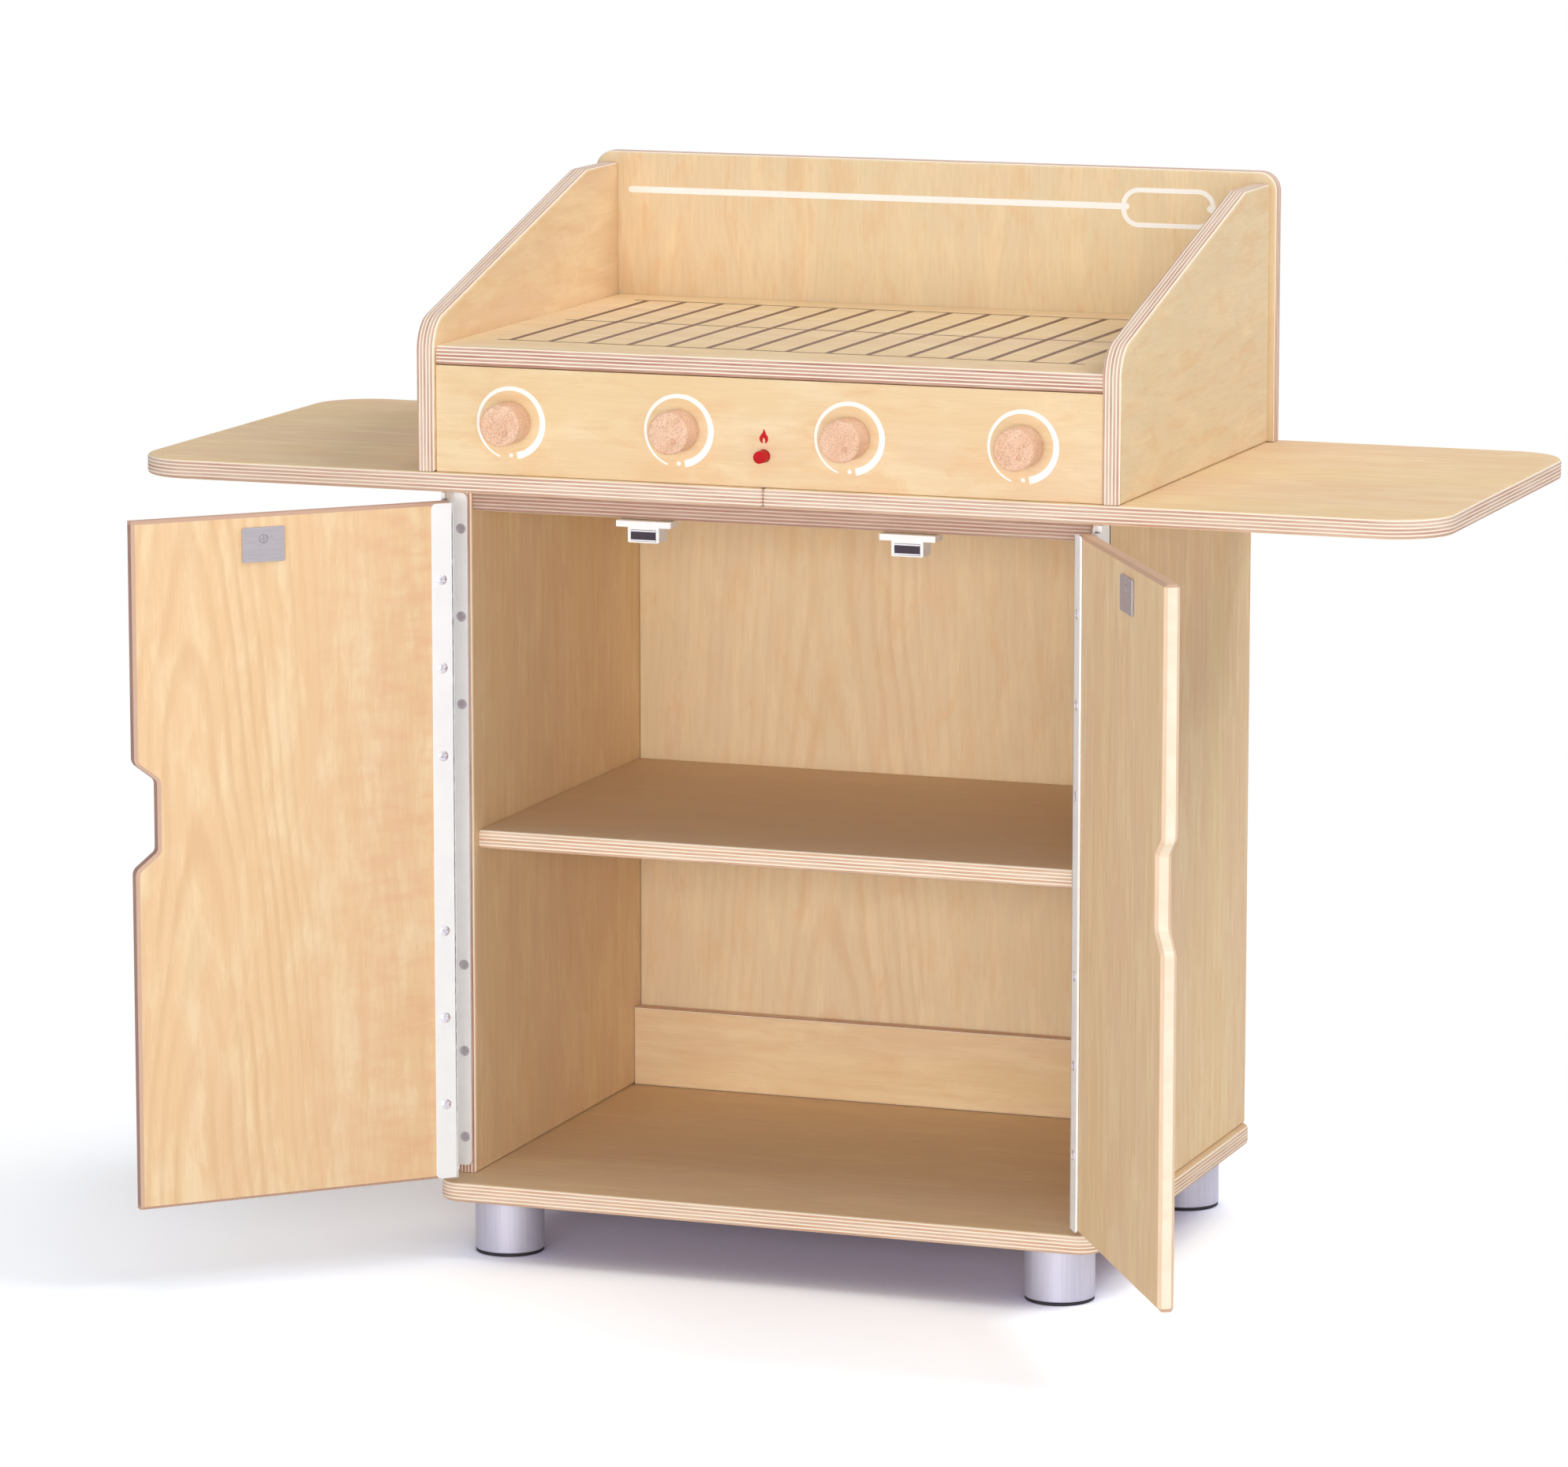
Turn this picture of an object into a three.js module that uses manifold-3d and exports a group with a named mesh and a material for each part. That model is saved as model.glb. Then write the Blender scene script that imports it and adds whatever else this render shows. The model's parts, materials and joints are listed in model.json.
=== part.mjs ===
// Toy barbecue grill: a plywood cabinet with two doors, a counter with wings and a grill box.
// Millimetres, +Z up, front towards -Y. While it is built, y runs back from the counter's front edge.
import * as THREE from 'three';
import { mergeVertices } from 'three/addons/utils/BufferGeometryUtils.js';
import Module from 'manifold-3d';

const wasm = await Module();
wasm.setup();

// Plywood, and the gap between pieces that touch
const ply = 15;
const seat = 0.3;
const edgeRound = 2.5;

// Counter
const counterLength = 1046.8;
const counterDepth = 405.7;
const counterTop = 614.3;
const wingRadius = 47;
const seamRadius = 3.2;

// Cabinet
const cabinetWidth = 526.8;
const cabinetFront = 31;
const topPanelThickness = 18;
const topPanelSetback = 2;
const shelfTop = 331.6;
const shelfSetback = 9;
const backInset = 7.5;
const railHeight = 65;

// Base and legs
const baseBottom = 46;
const baseSideOverhang = 5;
const baseFrontOverhang = 36;
const baseBackOverhang = 7;
const baseRadius = 19;
const legRadius = 27;
const legSideInset = 43.4;
const legFrontInset = 46.7;
const legBackInset = 45.2;
const legChamfer = 1;
const glideHeight = 2.2;
const glideRim = 0.4;

// Grill box
const boxHalfWidth = 281.1;
const boxSetback = 1;
const sideFootHeight = 113.5;
const sideHeadHeight = 203.3;
const sideHeadRun = 66.6;
const footRadius = 28;
const headRadius = 14;
const boxBackInset = 18.7;
const boxBackHeight = 212.6;
const boxBackOverhang = 4.9;
const boxBackRadius = 15;
const deckHeight = 97.1;
const deckSetback = 4.8;
const controlSetback = 4.2;
const controlThickness = 9;

// Knobs
const knobCount = 4;
const knobSpacing = 136.3;
const knobHeight = 40.4;
const knobRadius = 16;
const knobLength = 24.3;
const knobRound = 2.4;
const knobGap = 0.5;
const dimpleRadius = 5;
const dimpleDepth = 0.5;
const dimpleReach = 7.2;
const dimpleAngle = 41;
const spindleRadius = 3;
const spindleInKnob = 15;
const spindleTail = 5;
const runningGap = 0.35;
const retainerRadius = 8;
const retainerThickness = 3;

// Igniter
const igniterHeight = 24;
const igniterRadius = 4.7;
const igniterProud = 11.2;
const igniterTravel = 5;
const igniterRound = 0.8;
const collarRadius = 7;
const collarThickness = 2.5;
const stemRadius = 2.5;
const stemTail = 4;
const springRoom = 9;
const barrelWall = 2;
const barrelGap = 1;
const barrelFlange = 5;

// Doors
const doorThickness = 12;
const doorChamfer = 2.5;
const doorBottomGap = 4.2;
const doorTopGap = 6.6;
const doorMeetGap = 3;
const notchAboveMiddle = 38.7;
const notchMouth = 82;
const notchFloor = 54;
const notchDepth = 18;
const notchMouthRadius = 8;
const notchFloorRadius = 6;
const leftDoorAngle = 134.6;
const rightDoorAngle = 121.5;

// Hinges
const knuckleRadius = 3.2;
const knuckleCount = 5;
const knuckleGap = 0.5;
const pinRadius = 1.2;
const pinHeadRadius = 2;
const pinHeadHeight = 0.6;
const leafInset = 0.5;
const flangeFootInset = 9;
const flangeHeadRise = 5;
const leafRadius = 3.5;
const flangeThickness = 2.9;
const flangeProud = 1;
const flangeWidth = 13.2;
const leafThickness = 1.8;
const leafWidth = 16;
const leafGap = 0.4;
const leafCloseGap = 1.5;
const webThickness = 1.4;
const webOffset = 0.6;
const screwEndInset = 25.05;
const flangeScrewShares = [-3.5, -2.5, -1.5, 1.5, 2.5, 3.5];
const leafScrewShares = [-3, -2, -1, 1, 2, 3];
const screwHeadRadius = 3.9;
const flangeScrewProud = 0.25;
const leafScrewProud = 1.2;
const screwHeadBevel = 1;

// Catches and strike plates
const catchOffset = 106;
const catchWidth = 44.6;
const catchFlange = 5;
const catchBody = 25.4;
const catchDrop = 16.7;
const catchDepth = 17;
const magnetWidth = 20;
const magnetHeight = 5.4;
const magnetFloor = 1.1;
const polePlate = 1.2;
const poleProud = 0.6;
const magnetSetback = 1;
const plateWidth = 34;
const plateHeight = 26.5;
const plateThickness = 1.6;
const plateRadius = 1.2;

// Finish of curves, in steps and sides, and one overrun for all cuts
const roundSteps = 2;
const arcSteps = 3;
const wideArcSteps = 6;
const wideSides = 36;
const narrowSides = 18;
const smallSides = 12;
const overrun = 1;

// Colours
const birch = { color: 0xeed4a5, roughness: 0.55, metalness: 0 };
const beech = { color: 0xe0a988, roughness: 0.6, metalness: 0 };
const white = { color: 0xf6f6f4, roughness: 0.45, metalness: 0 };
const silver = { color: 0xc4c1d0, roughness: 0.35, metalness: 0.8 };
const steel = { color: 0x8d8486, roughness: 0.4, metalness: 0.9 };
const black = { color: 0x16151a, roughness: 0.7, metalness: 0 };
const red = { color: 0xc8202c, roughness: 0.4, metalness: 0 };

// Levels and places worked out from the driving sizes
const counterBottom = counterTop - ply;
const baseTop = baseBottom + ply;
const cabinetHalf = cabinetWidth / 2;
const cabinetInner = cabinetHalf - ply;
const cabinetBackFront = counterDepth - backInset - ply;
const boxInner = boxHalfWidth - ply;
const boxBackFront = counterDepth - boxBackInset;
const sideHeadFront = boxBackFront - sideHeadRun;
const controlBack = controlSetback + controlThickness;
const doorFoot = baseTop + doorBottomGap;
const doorHead = counterBottom - doorTopGap;
const doorMiddle = (doorFoot + doorHead) / 2;
const leafFoot = doorFoot + leafInset;
const leafHead = doorHead - leafInset;
const flangeFoot = doorFoot + flangeFootInset;
const flangeHead = doorHead + flangeHeadRise;
const screwPitch = ((doorHead - doorFoot) / 2 - screwEndInset) / Math.max(...flangeScrewShares);

// Places in the hinge frame: its origin is the pin, X runs inward and Y back on a closed door
const pinX = cabinetHalf + flangeProud - knuckleRadius;
const doorOuter = knuckleRadius + leafGap;
const doorInner = doorOuter + doorThickness;
const leafBack = doorInner + seat + leafThickness;
const flangeFront = leafBack + leafCloseGap;
const flangeBack = flangeFront + flangeThickness;
const pinY = cabinetFront - seat - flangeBack;
const doorEnd = webOffset + webThickness + seat;
const doorFree = pinX - doorMeetGap / 2;
const plateBack = doorInner + seat + plateThickness;

// Places of the catches: the pole plates stand a gap behind their strike plate when the door is closed
const catchHead = counterBottom - seat - topPanelThickness - seat;
const catchFoot = catchHead - catchDrop;
const poleFoot = catchFoot + magnetFloor + seat;
const magnetFoot = poleFoot + polePlate + seat;
const magnetMiddle = magnetFoot + magnetHeight / 2;
const poleHead = magnetFoot + magnetHeight + seat + polePlate;
const poleFront = pinY + plateBack + seat;

const grill = new THREE.Group();
const sides = [['left', -1], ['right', 1]];

// Adds a named mesh to a group
function addPiece(name, geometry, look, parent = grill) {
  const mesh = new THREE.Mesh(geometry, new THREE.MeshStandardMaterial(look));
  mesh.name = name;
  parent.add(mesh);
  return mesh;
}

// Closed outline through corners [x, y, radius], each rounded by its own radius
function roundedShape(corners) {
  const shape = new THREE.Shape();
  const points = corners.map(([x, y]) => new THREE.Vector2(x, y));
  corners.forEach(([, , radius], index) => {
    const corner = points[index];
    if (radius === 0) {
      if (index === 0) shape.moveTo(corner.x, corner.y);
      else shape.lineTo(corner.x, corner.y);
      return;
    }
    const before = points[(index + points.length - 1) % points.length].clone().sub(corner).normalize();
    const after = points[(index + 1) % points.length].clone().sub(corner).normalize();
    const half = before.angleTo(after) / 2;
    const centre = before.clone().add(after).normalize().multiplyScalar(radius / Math.sin(half)).add(corner);
    const start = corner.clone().addScaledVector(before, radius / Math.tan(half)).sub(centre);
    const end = corner.clone().addScaledVector(after, radius / Math.tan(half)).sub(centre);
    shape.absarc(centre.x, centre.y, radius, start.angle(), end.angle(), before.cross(after) > 0);
  });
  return shape;
}

// Plain rectangle between two corners
function rectangle([left, low], [right, high], radius = 0) {
  return roundedShape([
    [left, low, radius], [right, low, radius], [right, high, radius], [left, high, radius],
  ]);
}

// Panel from an outline: its thickness runs along +Z and its edges are rounded in some steps
function panel(shape, thickness, round = edgeRound, steps = roundSteps, curveSegments = arcSteps) {
  const bevel = { bevelThickness: round, bevelSize: round, bevelOffset: -round, bevelSegments: steps };
  const depth = thickness - 2 * round;
  const settings = { depth, curveSegments, bevelEnabled: round > 0, ...bevel };
  return new THREE.ExtrudeGeometry(shape, settings).translate(0, 0, round);
}

// Stands a panel up: its outline's x runs back, its outline's y is height and its thickness runs along +X
function acrossX(geometry) {
  const axes = [new THREE.Vector3(0, 1, 0), new THREE.Vector3(0, 0, 1), new THREE.Vector3(1, 0, 0)];
  return geometry.applyMatrix4(new THREE.Matrix4().makeBasis(...axes));
}

// Stands a panel up: its outline's x stays, its outline's y is height and its thickness runs back from y
function acrossY(geometry, thickness, y) {
  return geometry.rotateX(Math.PI / 2).translate(0, y + thickness, 0);
}

// Box between two corners
function boxBetween(low, high) {
  const [width, depth, height] = high.map((value, axis) => value - low[axis]);
  const [x, y, z] = high.map((value, axis) => (value + low[axis]) / 2);
  return new THREE.BoxGeometry(width, depth, height).translate(x, y, z);
}

// Turned piece about the Z axis, from a profile of [radius, height] that starts low and ends high
function turned(profile, turnSides) {
  const points = profile.map(([radius, height]) => new THREE.Vector2(radius, height));
  return new THREE.LatheGeometry(points, turnSides).rotateX(Math.PI / 2);
}

// Turned piece whose heights run forward from a place on the piece's axis
function turnedForward(profile, turnSides, y = 0) {
  return turned(profile, turnSides).rotateX(Math.PI / 2).translate(0, y, 0);
}

// Quarter arc of a turned profile, from the side of a head to its flat end
function headArc(radius, length, round) {
  const points = [];
  for (let step = 0; step <= roundSteps; step += 1) {
    const angle = (Math.PI / 2) * (step / roundSteps);
    points.push([radius - round + round * Math.cos(angle), length - round + round * Math.sin(angle)]);
  }
  return points;
}

// Round bar along Z between two heights
function bar(radius, foot, head, turnSides = smallSides) {
  return turned([[0, foot], [radius, foot], [radius, head], [0, head]], turnSides);
}

// Solid for joining and cutting
function solidOf(geometry) {
  const bare = geometry.clone();
  bare.deleteAttribute('normal');
  bare.deleteAttribute('uv');
  const merged = mergeVertices(bare);
  const vertProperties = new Float32Array(merged.attributes.position.array);
  const triVerts = new Uint32Array(merged.index.array);
  return new wasm.Manifold(new wasm.Mesh({ numProp: 3, vertProperties, triVerts }));
}

// Geometry of a joined or cut solid
function geometryOf(solid) {
  const { vertProperties, triVerts } = solid.getMesh();
  const geometry = new THREE.BufferGeometry();
  geometry.setAttribute('position', new THREE.BufferAttribute(new Float32Array(vertProperties), 3));
  geometry.setIndex(new THREE.BufferAttribute(new Uint32Array(triVerts), 1));
  geometry.computeVertexNormals();
  return geometry;
}

// Copy mirrored in X, with its triangles turned so that the faces still point out
function mirrored(geometry) {
  const copy = geometry.index ? geometry.toNonIndexed() : geometry.clone();
  const places = copy.attributes.position;
  for (let first = 0; first < places.count; first += 3) {
    const turn = [first, first + 2, first + 1];
    const corners = turn.map((at) => new THREE.Vector3().fromBufferAttribute(places, at));
    corners.forEach(({ x, y, z }, at) => places.setXYZ(first + at, -x, y, z));
  }
  copy.computeVertexNormals();
  return copy;
}

// Base board, with four legs and their glides
function buildBase() {
  const half = cabinetHalf + baseSideOverhang;
  const front = cabinetFront - baseFrontOverhang;
  const back = counterDepth + baseBackOverhang;
  const outline = rectangle([-half, front], [half, back], baseRadius);
  addPiece('base_board', panel(outline, ply).translate(0, 0, baseBottom), birch);

  const rows = [['front', front + legFrontInset], ['back', back - legBackInset]];
  for (const [row, y] of rows) {
    for (const [side, sign] of sides) {
      const x = sign * (half - legSideInset);
      addPiece(`leg_${row}_${side}`, legGeometry(), silver).position.set(x, y, 0);
      addPiece(`glide_${row}_${side}`, glideGeometry(), black).position.set(x, y, 0);
    }
  }
}

// Leg: a metal cylinder between its glide and the base board
function legGeometry() {
  const foot = glideHeight + seat;
  const head = baseBottom - seat;
  return turned([
    [0, foot], [legRadius - legChamfer, foot], [legRadius, foot + legChamfer], [legRadius, head], [0, head],
  ], wideSides);
}

// Glide: a thin disc on the floor
function glideGeometry() {
  return bar(legRadius - glideRim, 0, glideHeight, wideSides);
}

// Cabinet: two sides, top panel, shelf, back panel and the rail in front of it
function buildCabinet() {
  const foot = baseTop + seat;
  const head = counterBottom - seat;
  const width = cabinetInner - seat;
  const back = cabinetBackFront - seat;
  const sideOutline = rectangle([cabinetFront, foot], [counterDepth, head]);
  for (const [side, sign] of sides) {
    const outer = sign < 0 ? -cabinetHalf : cabinetInner;
    addPiece(`cabinet_side_${side}`, acrossX(panel(sideOutline, ply)).translate(outer, 0, 0), birch);
  }

  const topOutline = rectangle([-width, cabinetFront + topPanelSetback], [width, back]);
  const topPanel = panel(topOutline, topPanelThickness).translate(0, 0, head - topPanelThickness);
  addPiece('cabinet_top_panel', topPanel, birch);

  const shelfOutline = rectangle([-width, cabinetFront + shelfSetback], [width, back]);
  addPiece('middle_shelf', panel(shelfOutline, ply).translate(0, 0, shelfTop - ply), birch);

  const backOutline = rectangle([-width, foot], [width, head]);
  addPiece('cabinet_back_panel', acrossY(panel(backOutline, ply), ply, cabinetBackFront), birch);

  const railOutline = rectangle([-width, foot], [width, baseTop + railHeight]);
  addPiece('back_rail', acrossY(panel(railOutline, ply), ply, back - ply), birch);
}

// Counter: two boards that meet in a seam in the middle, each with a rounded wing
function buildCounter() {
  const wingEnd = -counterLength / 2;
  const seam = -seat / 2;
  const outline = roundedShape([
    [wingEnd, 0, wingRadius], [seam, 0, seamRadius], [seam, counterDepth, seamRadius],
    [wingEnd, counterDepth, wingRadius],
  ]);
  const board = panel(outline, ply, edgeRound, roundSteps, wideArcSteps).translate(0, 0, counterBottom);
  addPiece('counter_left', board, birch);
  addPiece('counter_right', mirrored(board), birch);
}

// Grill box: two sloping sides, the panel behind them, the deck and the control panel
function buildGrillBox() {
  const foot = counterTop + seat;
  const back = boxBackFront - seat;
  const sideOutline = roundedShape([
    [boxSetback, foot, 0], [back, foot, 0], [back, counterTop + sideHeadHeight, 0],
    [sideHeadFront, counterTop + sideHeadHeight, headRadius],
    [boxSetback, counterTop + sideFootHeight, footRadius],
  ]);
  const board = acrossX(panel(sideOutline, ply, edgeRound, roundSteps, wideArcSteps));
  for (const [side, sign] of sides) {
    const outer = sign < 0 ? -boxHalfWidth : boxInner;
    addPiece(`grill_side_${side}`, board.clone().translate(outer, 0, 0), birch);
  }

  const backHalf = boxHalfWidth + boxBackOverhang;
  const backHead = counterTop + boxBackHeight;
  const backOutline = roundedShape([
    [-backHalf, foot, 0], [backHalf, foot, 0],
    [backHalf, backHead, boxBackRadius], [-backHalf, backHead, boxBackRadius],
  ]);
  addPiece('grill_back_panel', acrossY(panel(backOutline, ply), ply, boxBackFront), birch);

  const width = boxInner - seat;
  const deckTop = counterTop + deckHeight;
  const deckOutline = rectangle([-width, deckSetback], [width, back]);
  addPiece('grill_deck', panel(deckOutline, ply).translate(0, 0, deckTop - ply), birch);

  const controlOutline = rectangle([-width, foot], [width, deckTop - ply - seat]);
  for (let index = 0; index < knobCount; index += 1) {
    controlOutline.holes.push(roundHole(knobX(index), counterTop + knobHeight, spindleRadius + runningGap));
  }
  controlOutline.holes.push(roundHole(0, counterTop + igniterHeight, igniterRadius + runningGap));
  const control = panel(controlOutline, controlThickness, 0, 0, wideArcSteps);
  addPiece('control_panel', acrossY(control, controlThickness, controlSetback), birch);
}

// Round hole of an outline
function roundHole(x, y, radius) {
  return new THREE.Path().absarc(x, y, radius, 0, 2 * Math.PI, true);
}

// Place of a knob across the control panel, counted from the left
function knobX(index) {
  return (index - (knobCount - 1) / 2) * knobSpacing;
}

// Knobs, each with the spindle that carries it and the retainer behind the control panel
function buildKnobs() {
  for (let index = 0; index < knobCount; index += 1) {
    const pieces = [
      addPiece(`knob_${index + 1}`, knobGeometry(), beech),
      addPiece(`knob_spindle_${index + 1}`, spindleGeometry(), steel),
      addPiece(`knob_retainer_${index + 1}`, retainerGeometry(), steel),
    ];
    pieces.forEach((piece) => piece.position.set(knobX(index), 0, counterTop + knobHeight));
  }
}

// Knob: a turned head with a blind bore behind and a shallow round dimple in its face
function knobGeometry() {
  const bore = spindleRadius + seat;
  const boreDepth = spindleInKnob + seat;
  const back = controlSetback - knobGap;
  const head = turnedForward([
    [0, boreDepth], [bore, boreDepth], [bore, 0], [knobRadius, 0],
    ...headArc(knobRadius, knobLength, knobRound), [0, knobLength],
  ], wideSides, back);
  const angle = THREE.MathUtils.degToRad(dimpleAngle);
  const dimple = new THREE.SphereGeometry(dimpleRadius, narrowSides, smallSides).translate(
    dimpleReach * Math.sin(angle),
    back - knobLength - dimpleRadius + dimpleDepth,
    -dimpleReach * Math.cos(angle),
  );
  return geometryOf(solidOf(head).subtract(solidOf(dimple)));
}

// Spindle: from inside the knob, through the control panel, to a tail behind the retainer
function spindleGeometry() {
  const tail = controlBack + seat + retainerThickness + spindleTail;
  const front = controlSetback - knobGap - spindleInKnob;
  return turnedForward([
    [0, 0], [spindleRadius, 0], [spindleRadius, tail - front], [0, tail - front],
  ], narrowSides, tail);
}

// Retainer: a ring on the spindle behind the control panel
function retainerGeometry() {
  const bore = spindleRadius + seat;
  return turnedForward([
    [bore, 0], [retainerRadius, 0], [retainerRadius, retainerThickness], [bore, retainerThickness], [bore, 0],
  ], narrowSides, controlBack + seat + retainerThickness);
}

// Igniter: a push button, and the barrel behind the control panel that guides it
function buildIgniter() {
  const z = counterTop + igniterHeight;
  addPiece('igniter_button', igniterGeometry(), red).position.z = z;
  addPiece('igniter_barrel', barrelGeometry(), white).position.z = z;
}

// Button with the collar that keeps it in the panel and the stem that runs through the barrel's end
function igniterGeometry() {
  const collarBack = controlBack + seat + collarThickness;
  const stem = igniterTravel + springRoom + barrelWall + stemTail;
  const collar = stem + collarThickness;
  const length = collarBack + stem - controlSetback + igniterProud;
  return turnedForward([
    [0, 0], [stemRadius, 0], [stemRadius, stem], [collarRadius, stem], [collarRadius, collar],
    [igniterRadius, collar], ...headArc(igniterRadius, length, igniterRound), [0, length],
  ], narrowSides, collarBack + stem);
}

// Barrel: a flanged cup against the back of the control panel, with a hole for the stem
function barrelGeometry() {
  const hole = stemRadius + runningGap;
  const inner = collarRadius + barrelGap;
  const outer = inner + barrelWall;
  const flange = outer + barrelFlange;
  const length = collarThickness + igniterTravel + springRoom + barrelWall;
  return turnedForward([
    [hole, 0], [outer, 0], [outer, length - barrelWall], [flange, length - barrelWall], [flange, length],
    [inner, length], [inner, barrelWall], [hole, barrelWall], [hole, 0],
  ], narrowSides, controlBack + seat + length);
}

// Magnetic catches under the cabinet's top panel: a flanged housing round a magnet between two pole plates
function buildCatches() {
  const front = poleFront + poleProud;
  const back = front + catchDepth;
  const half = magnetWidth / 2;
  const housing = acrossY(panel(catchOutline(), catchDepth, 0), catchDepth, front);
  const magnetFront = poleFront + magnetSetback;
  const magnet = boxBetween([-half, magnetFront, magnetFoot], [half, back, magnetFoot + magnetHeight]);
  const lower = boxBetween([-half, poleFront, poleFoot], [half, back, poleFoot + polePlate]);
  const upper = boxBetween([-half, poleFront, poleHead - polePlate], [half, back, poleHead]);
  for (const [side, sign] of sides) {
    const pieces = [
      addPiece(`catch_housing_${side}`, housing.clone(), white),
      addPiece(`catch_magnet_${side}`, magnet.clone(), black),
      addPiece(`pole_plate_lower_${side}`, lower.clone(), steel),
      addPiece(`pole_plate_upper_${side}`, upper.clone(), steel),
    ];
    pieces.forEach((piece) => piece.position.setX(sign * catchOffset));
  }
}

// Front view of a catch housing: a body under a wider flange, with a window for the magnet and its plates
function catchOutline() {
  const [body, flange, step] = [catchBody / 2, catchWidth / 2, catchHead - catchFlange];
  const outline = roundedShape([
    [-body, catchFoot, 0], [body, catchFoot, 0], [body, step, 0], [flange, step, 0],
    [flange, catchHead, 0], [-flange, catchHead, 0], [-flange, step, 0], [-body, step, 0],
  ]);
  const window = magnetWidth / 2 + seat;
  outline.holes.push(rectangle([-window, poleFoot - seat], [window, poleHead + seat]));
  return outline;
}

// Doors with their hinges and strike plates: made for the left side and mirrored for the right side
function buildDoors() {
  const [flange, leaf, pin] = [flangeGeometry(), leafGeometry(), pinGeometry()];
  const [door, plate] = [doorGeometry(), plateGeometry()];
  const angles = { left: leftDoorAngle, right: rightDoorAngle };
  for (const [side, sign] of sides) {
    const handed = (geometry) => (sign < 0 ? geometry : mirrored(geometry));
    const hinge = new THREE.Group();
    const swing = new THREE.Group();
    hinge.position.set(sign * pinX, pinY, 0);
    swing.rotation.z = sign * THREE.MathUtils.degToRad(angles[side]);
    hinge.add(swing);
    grill.add(hinge);
    addPiece(`hinge_flange_${side}`, handed(flange), white, hinge);
    addPiece(`hinge_pin_${side}`, handed(pin), steel, hinge);
    addPiece(`hinge_leaf_${side}`, handed(leaf), white, swing);
    addPiece(`door_${side}`, handed(door), birch, swing);
    addPiece(`strike_plate_${side}`, handed(plate), steel, swing);
  }
}

// Door: chamfered all round, with a finger notch in its free edge
function doorGeometry() {
  const floor = doorFree - notchDepth;
  const notchMiddle = doorMiddle + notchAboveMiddle;
  const outline = roundedShape([
    [doorEnd, doorFoot, 0], [doorFree, doorFoot, 0],
    [doorFree, notchMiddle - notchMouth / 2, notchMouthRadius],
    [floor, notchMiddle - notchFloor / 2, notchFloorRadius],
    [floor, notchMiddle + notchFloor / 2, notchFloorRadius],
    [doorFree, notchMiddle + notchMouth / 2, notchMouthRadius],
    [doorFree, doorHead, 0], [doorEnd, doorHead, 0],
  ]);
  return acrossY(panel(outline, doorThickness, doorChamfer, 1), doorThickness, doorOuter);
}

// Strike plate: it meets the magnet when the door is closed
function plateGeometry() {
  const middle = pinX - catchOffset;
  const [half, rise] = [plateWidth / 2, plateHeight / 2];
  const corners = [[middle - half, magnetMiddle - rise], [middle + half, magnetMiddle + rise]];
  const outline = rectangle(...corners, plateRadius);
  return acrossY(panel(outline, plateThickness, 0), plateThickness, doorInner + seat);
}

// Fixed leaf: an angle on the front edge of the cabinet side, with its knuckles and screw heads
function flangeGeometry() {
  const outer = -knuckleRadius;
  const [inner, edge] = [outer + flangeThickness, outer + flangeWidth];
  const wall = boxBetween([outer, 0, flangeFoot], [inner, flangeBack, flangeHead]);
  const face = leafPlate([outer, flangeFoot], [edge, flangeHead], flangeThickness, flangeFront);
  const screw = screwHead(flangeScrewProud).translate((inner + edge) / 2, flangeFront, 0);
  return knuckled([wall, face, ...screwRow(screw, flangeScrewShares)], 0);
}

// Swinging leaf: an angle round the door's end and inner face, with its knuckles and screw heads
function leafGeometry() {
  const edge = doorEnd + leafWidth;
  const web = boxBetween([webOffset, 0, leafFoot], [webOffset + webThickness, leafBack, leafHead]);
  const face = leafPlate([webOffset, leafFoot], [edge, leafHead], leafThickness, doorInner + seat);
  const screw = screwHead(leafScrewProud).rotateZ(Math.PI).translate((doorEnd + edge) / 2, leafBack, 0);
  return knuckled([web, face, ...screwRow(screw, leafScrewShares)], 1);
}

// Face of a leaf, with its two free corners rounded
function leafPlate([fold, foot], [edge, head], thickness, y) {
  const outline = roundedShape([
    [fold, foot, 0], [edge, foot, leafRadius], [edge, head, leafRadius], [fold, head, 0],
  ]);
  return acrossY(panel(outline, thickness, 0), thickness, y);
}

// Screw head that stands proud of a leaf and reaches half way into it
function screwHead(proud) {
  const inside = leafThickness / 2;
  const head = inside + proud;
  return turnedForward([
    [0, 0], [screwHeadRadius, 0], [screwHeadRadius, inside],
    [screwHeadRadius - screwHeadBevel, head], [0, head],
  ], smallSides, inside);
}

// Copies of a screw head up a leaf, at shares of the screw pitch about the hinge's middle
function screwRow(screw, shares) {
  return shares.map((share) => screw.clone().translate(0, 0, doorMiddle + share * screwPitch));
}

// Joins the pieces of a leaf with its own knuckles, clears the other leaf's knuckles and bores the pin's way
function knuckled(pieces, firstKnuckle) {
  let solid = pieces.map(solidOf).reduce((whole, piece) => whole.add(piece));
  for (const [foot, head] of knuckleHeights(1 - firstKnuckle)) {
    solid = solid.subtract(solidOf(bar(knuckleRadius + leafGap, foot - knuckleGap, head + knuckleGap)));
  }
  for (const [foot, head] of knuckleHeights(firstKnuckle)) {
    solid = solid.add(solidOf(bar(knuckleRadius, foot, head)));
  }
  return geometryOf(solid.subtract(solidOf(pinWay())));
}

// Way of the pin: a bore through the knuckles, and room for the pin's heads beside the longer leaf's ends
function pinWay() {
  const [bore, room] = [pinRadius + runningGap, pinHeadRadius + leafGap];
  const [foot, head] = [leafFoot - overrun, flangeHead + overrun];
  return turned([
    [0, foot], [room, foot], [room, flangeFoot], [bore, flangeFoot],
    [bore, leafHead], [room, leafHead], [room, head], [0, head],
  ], smallSides);
}

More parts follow.
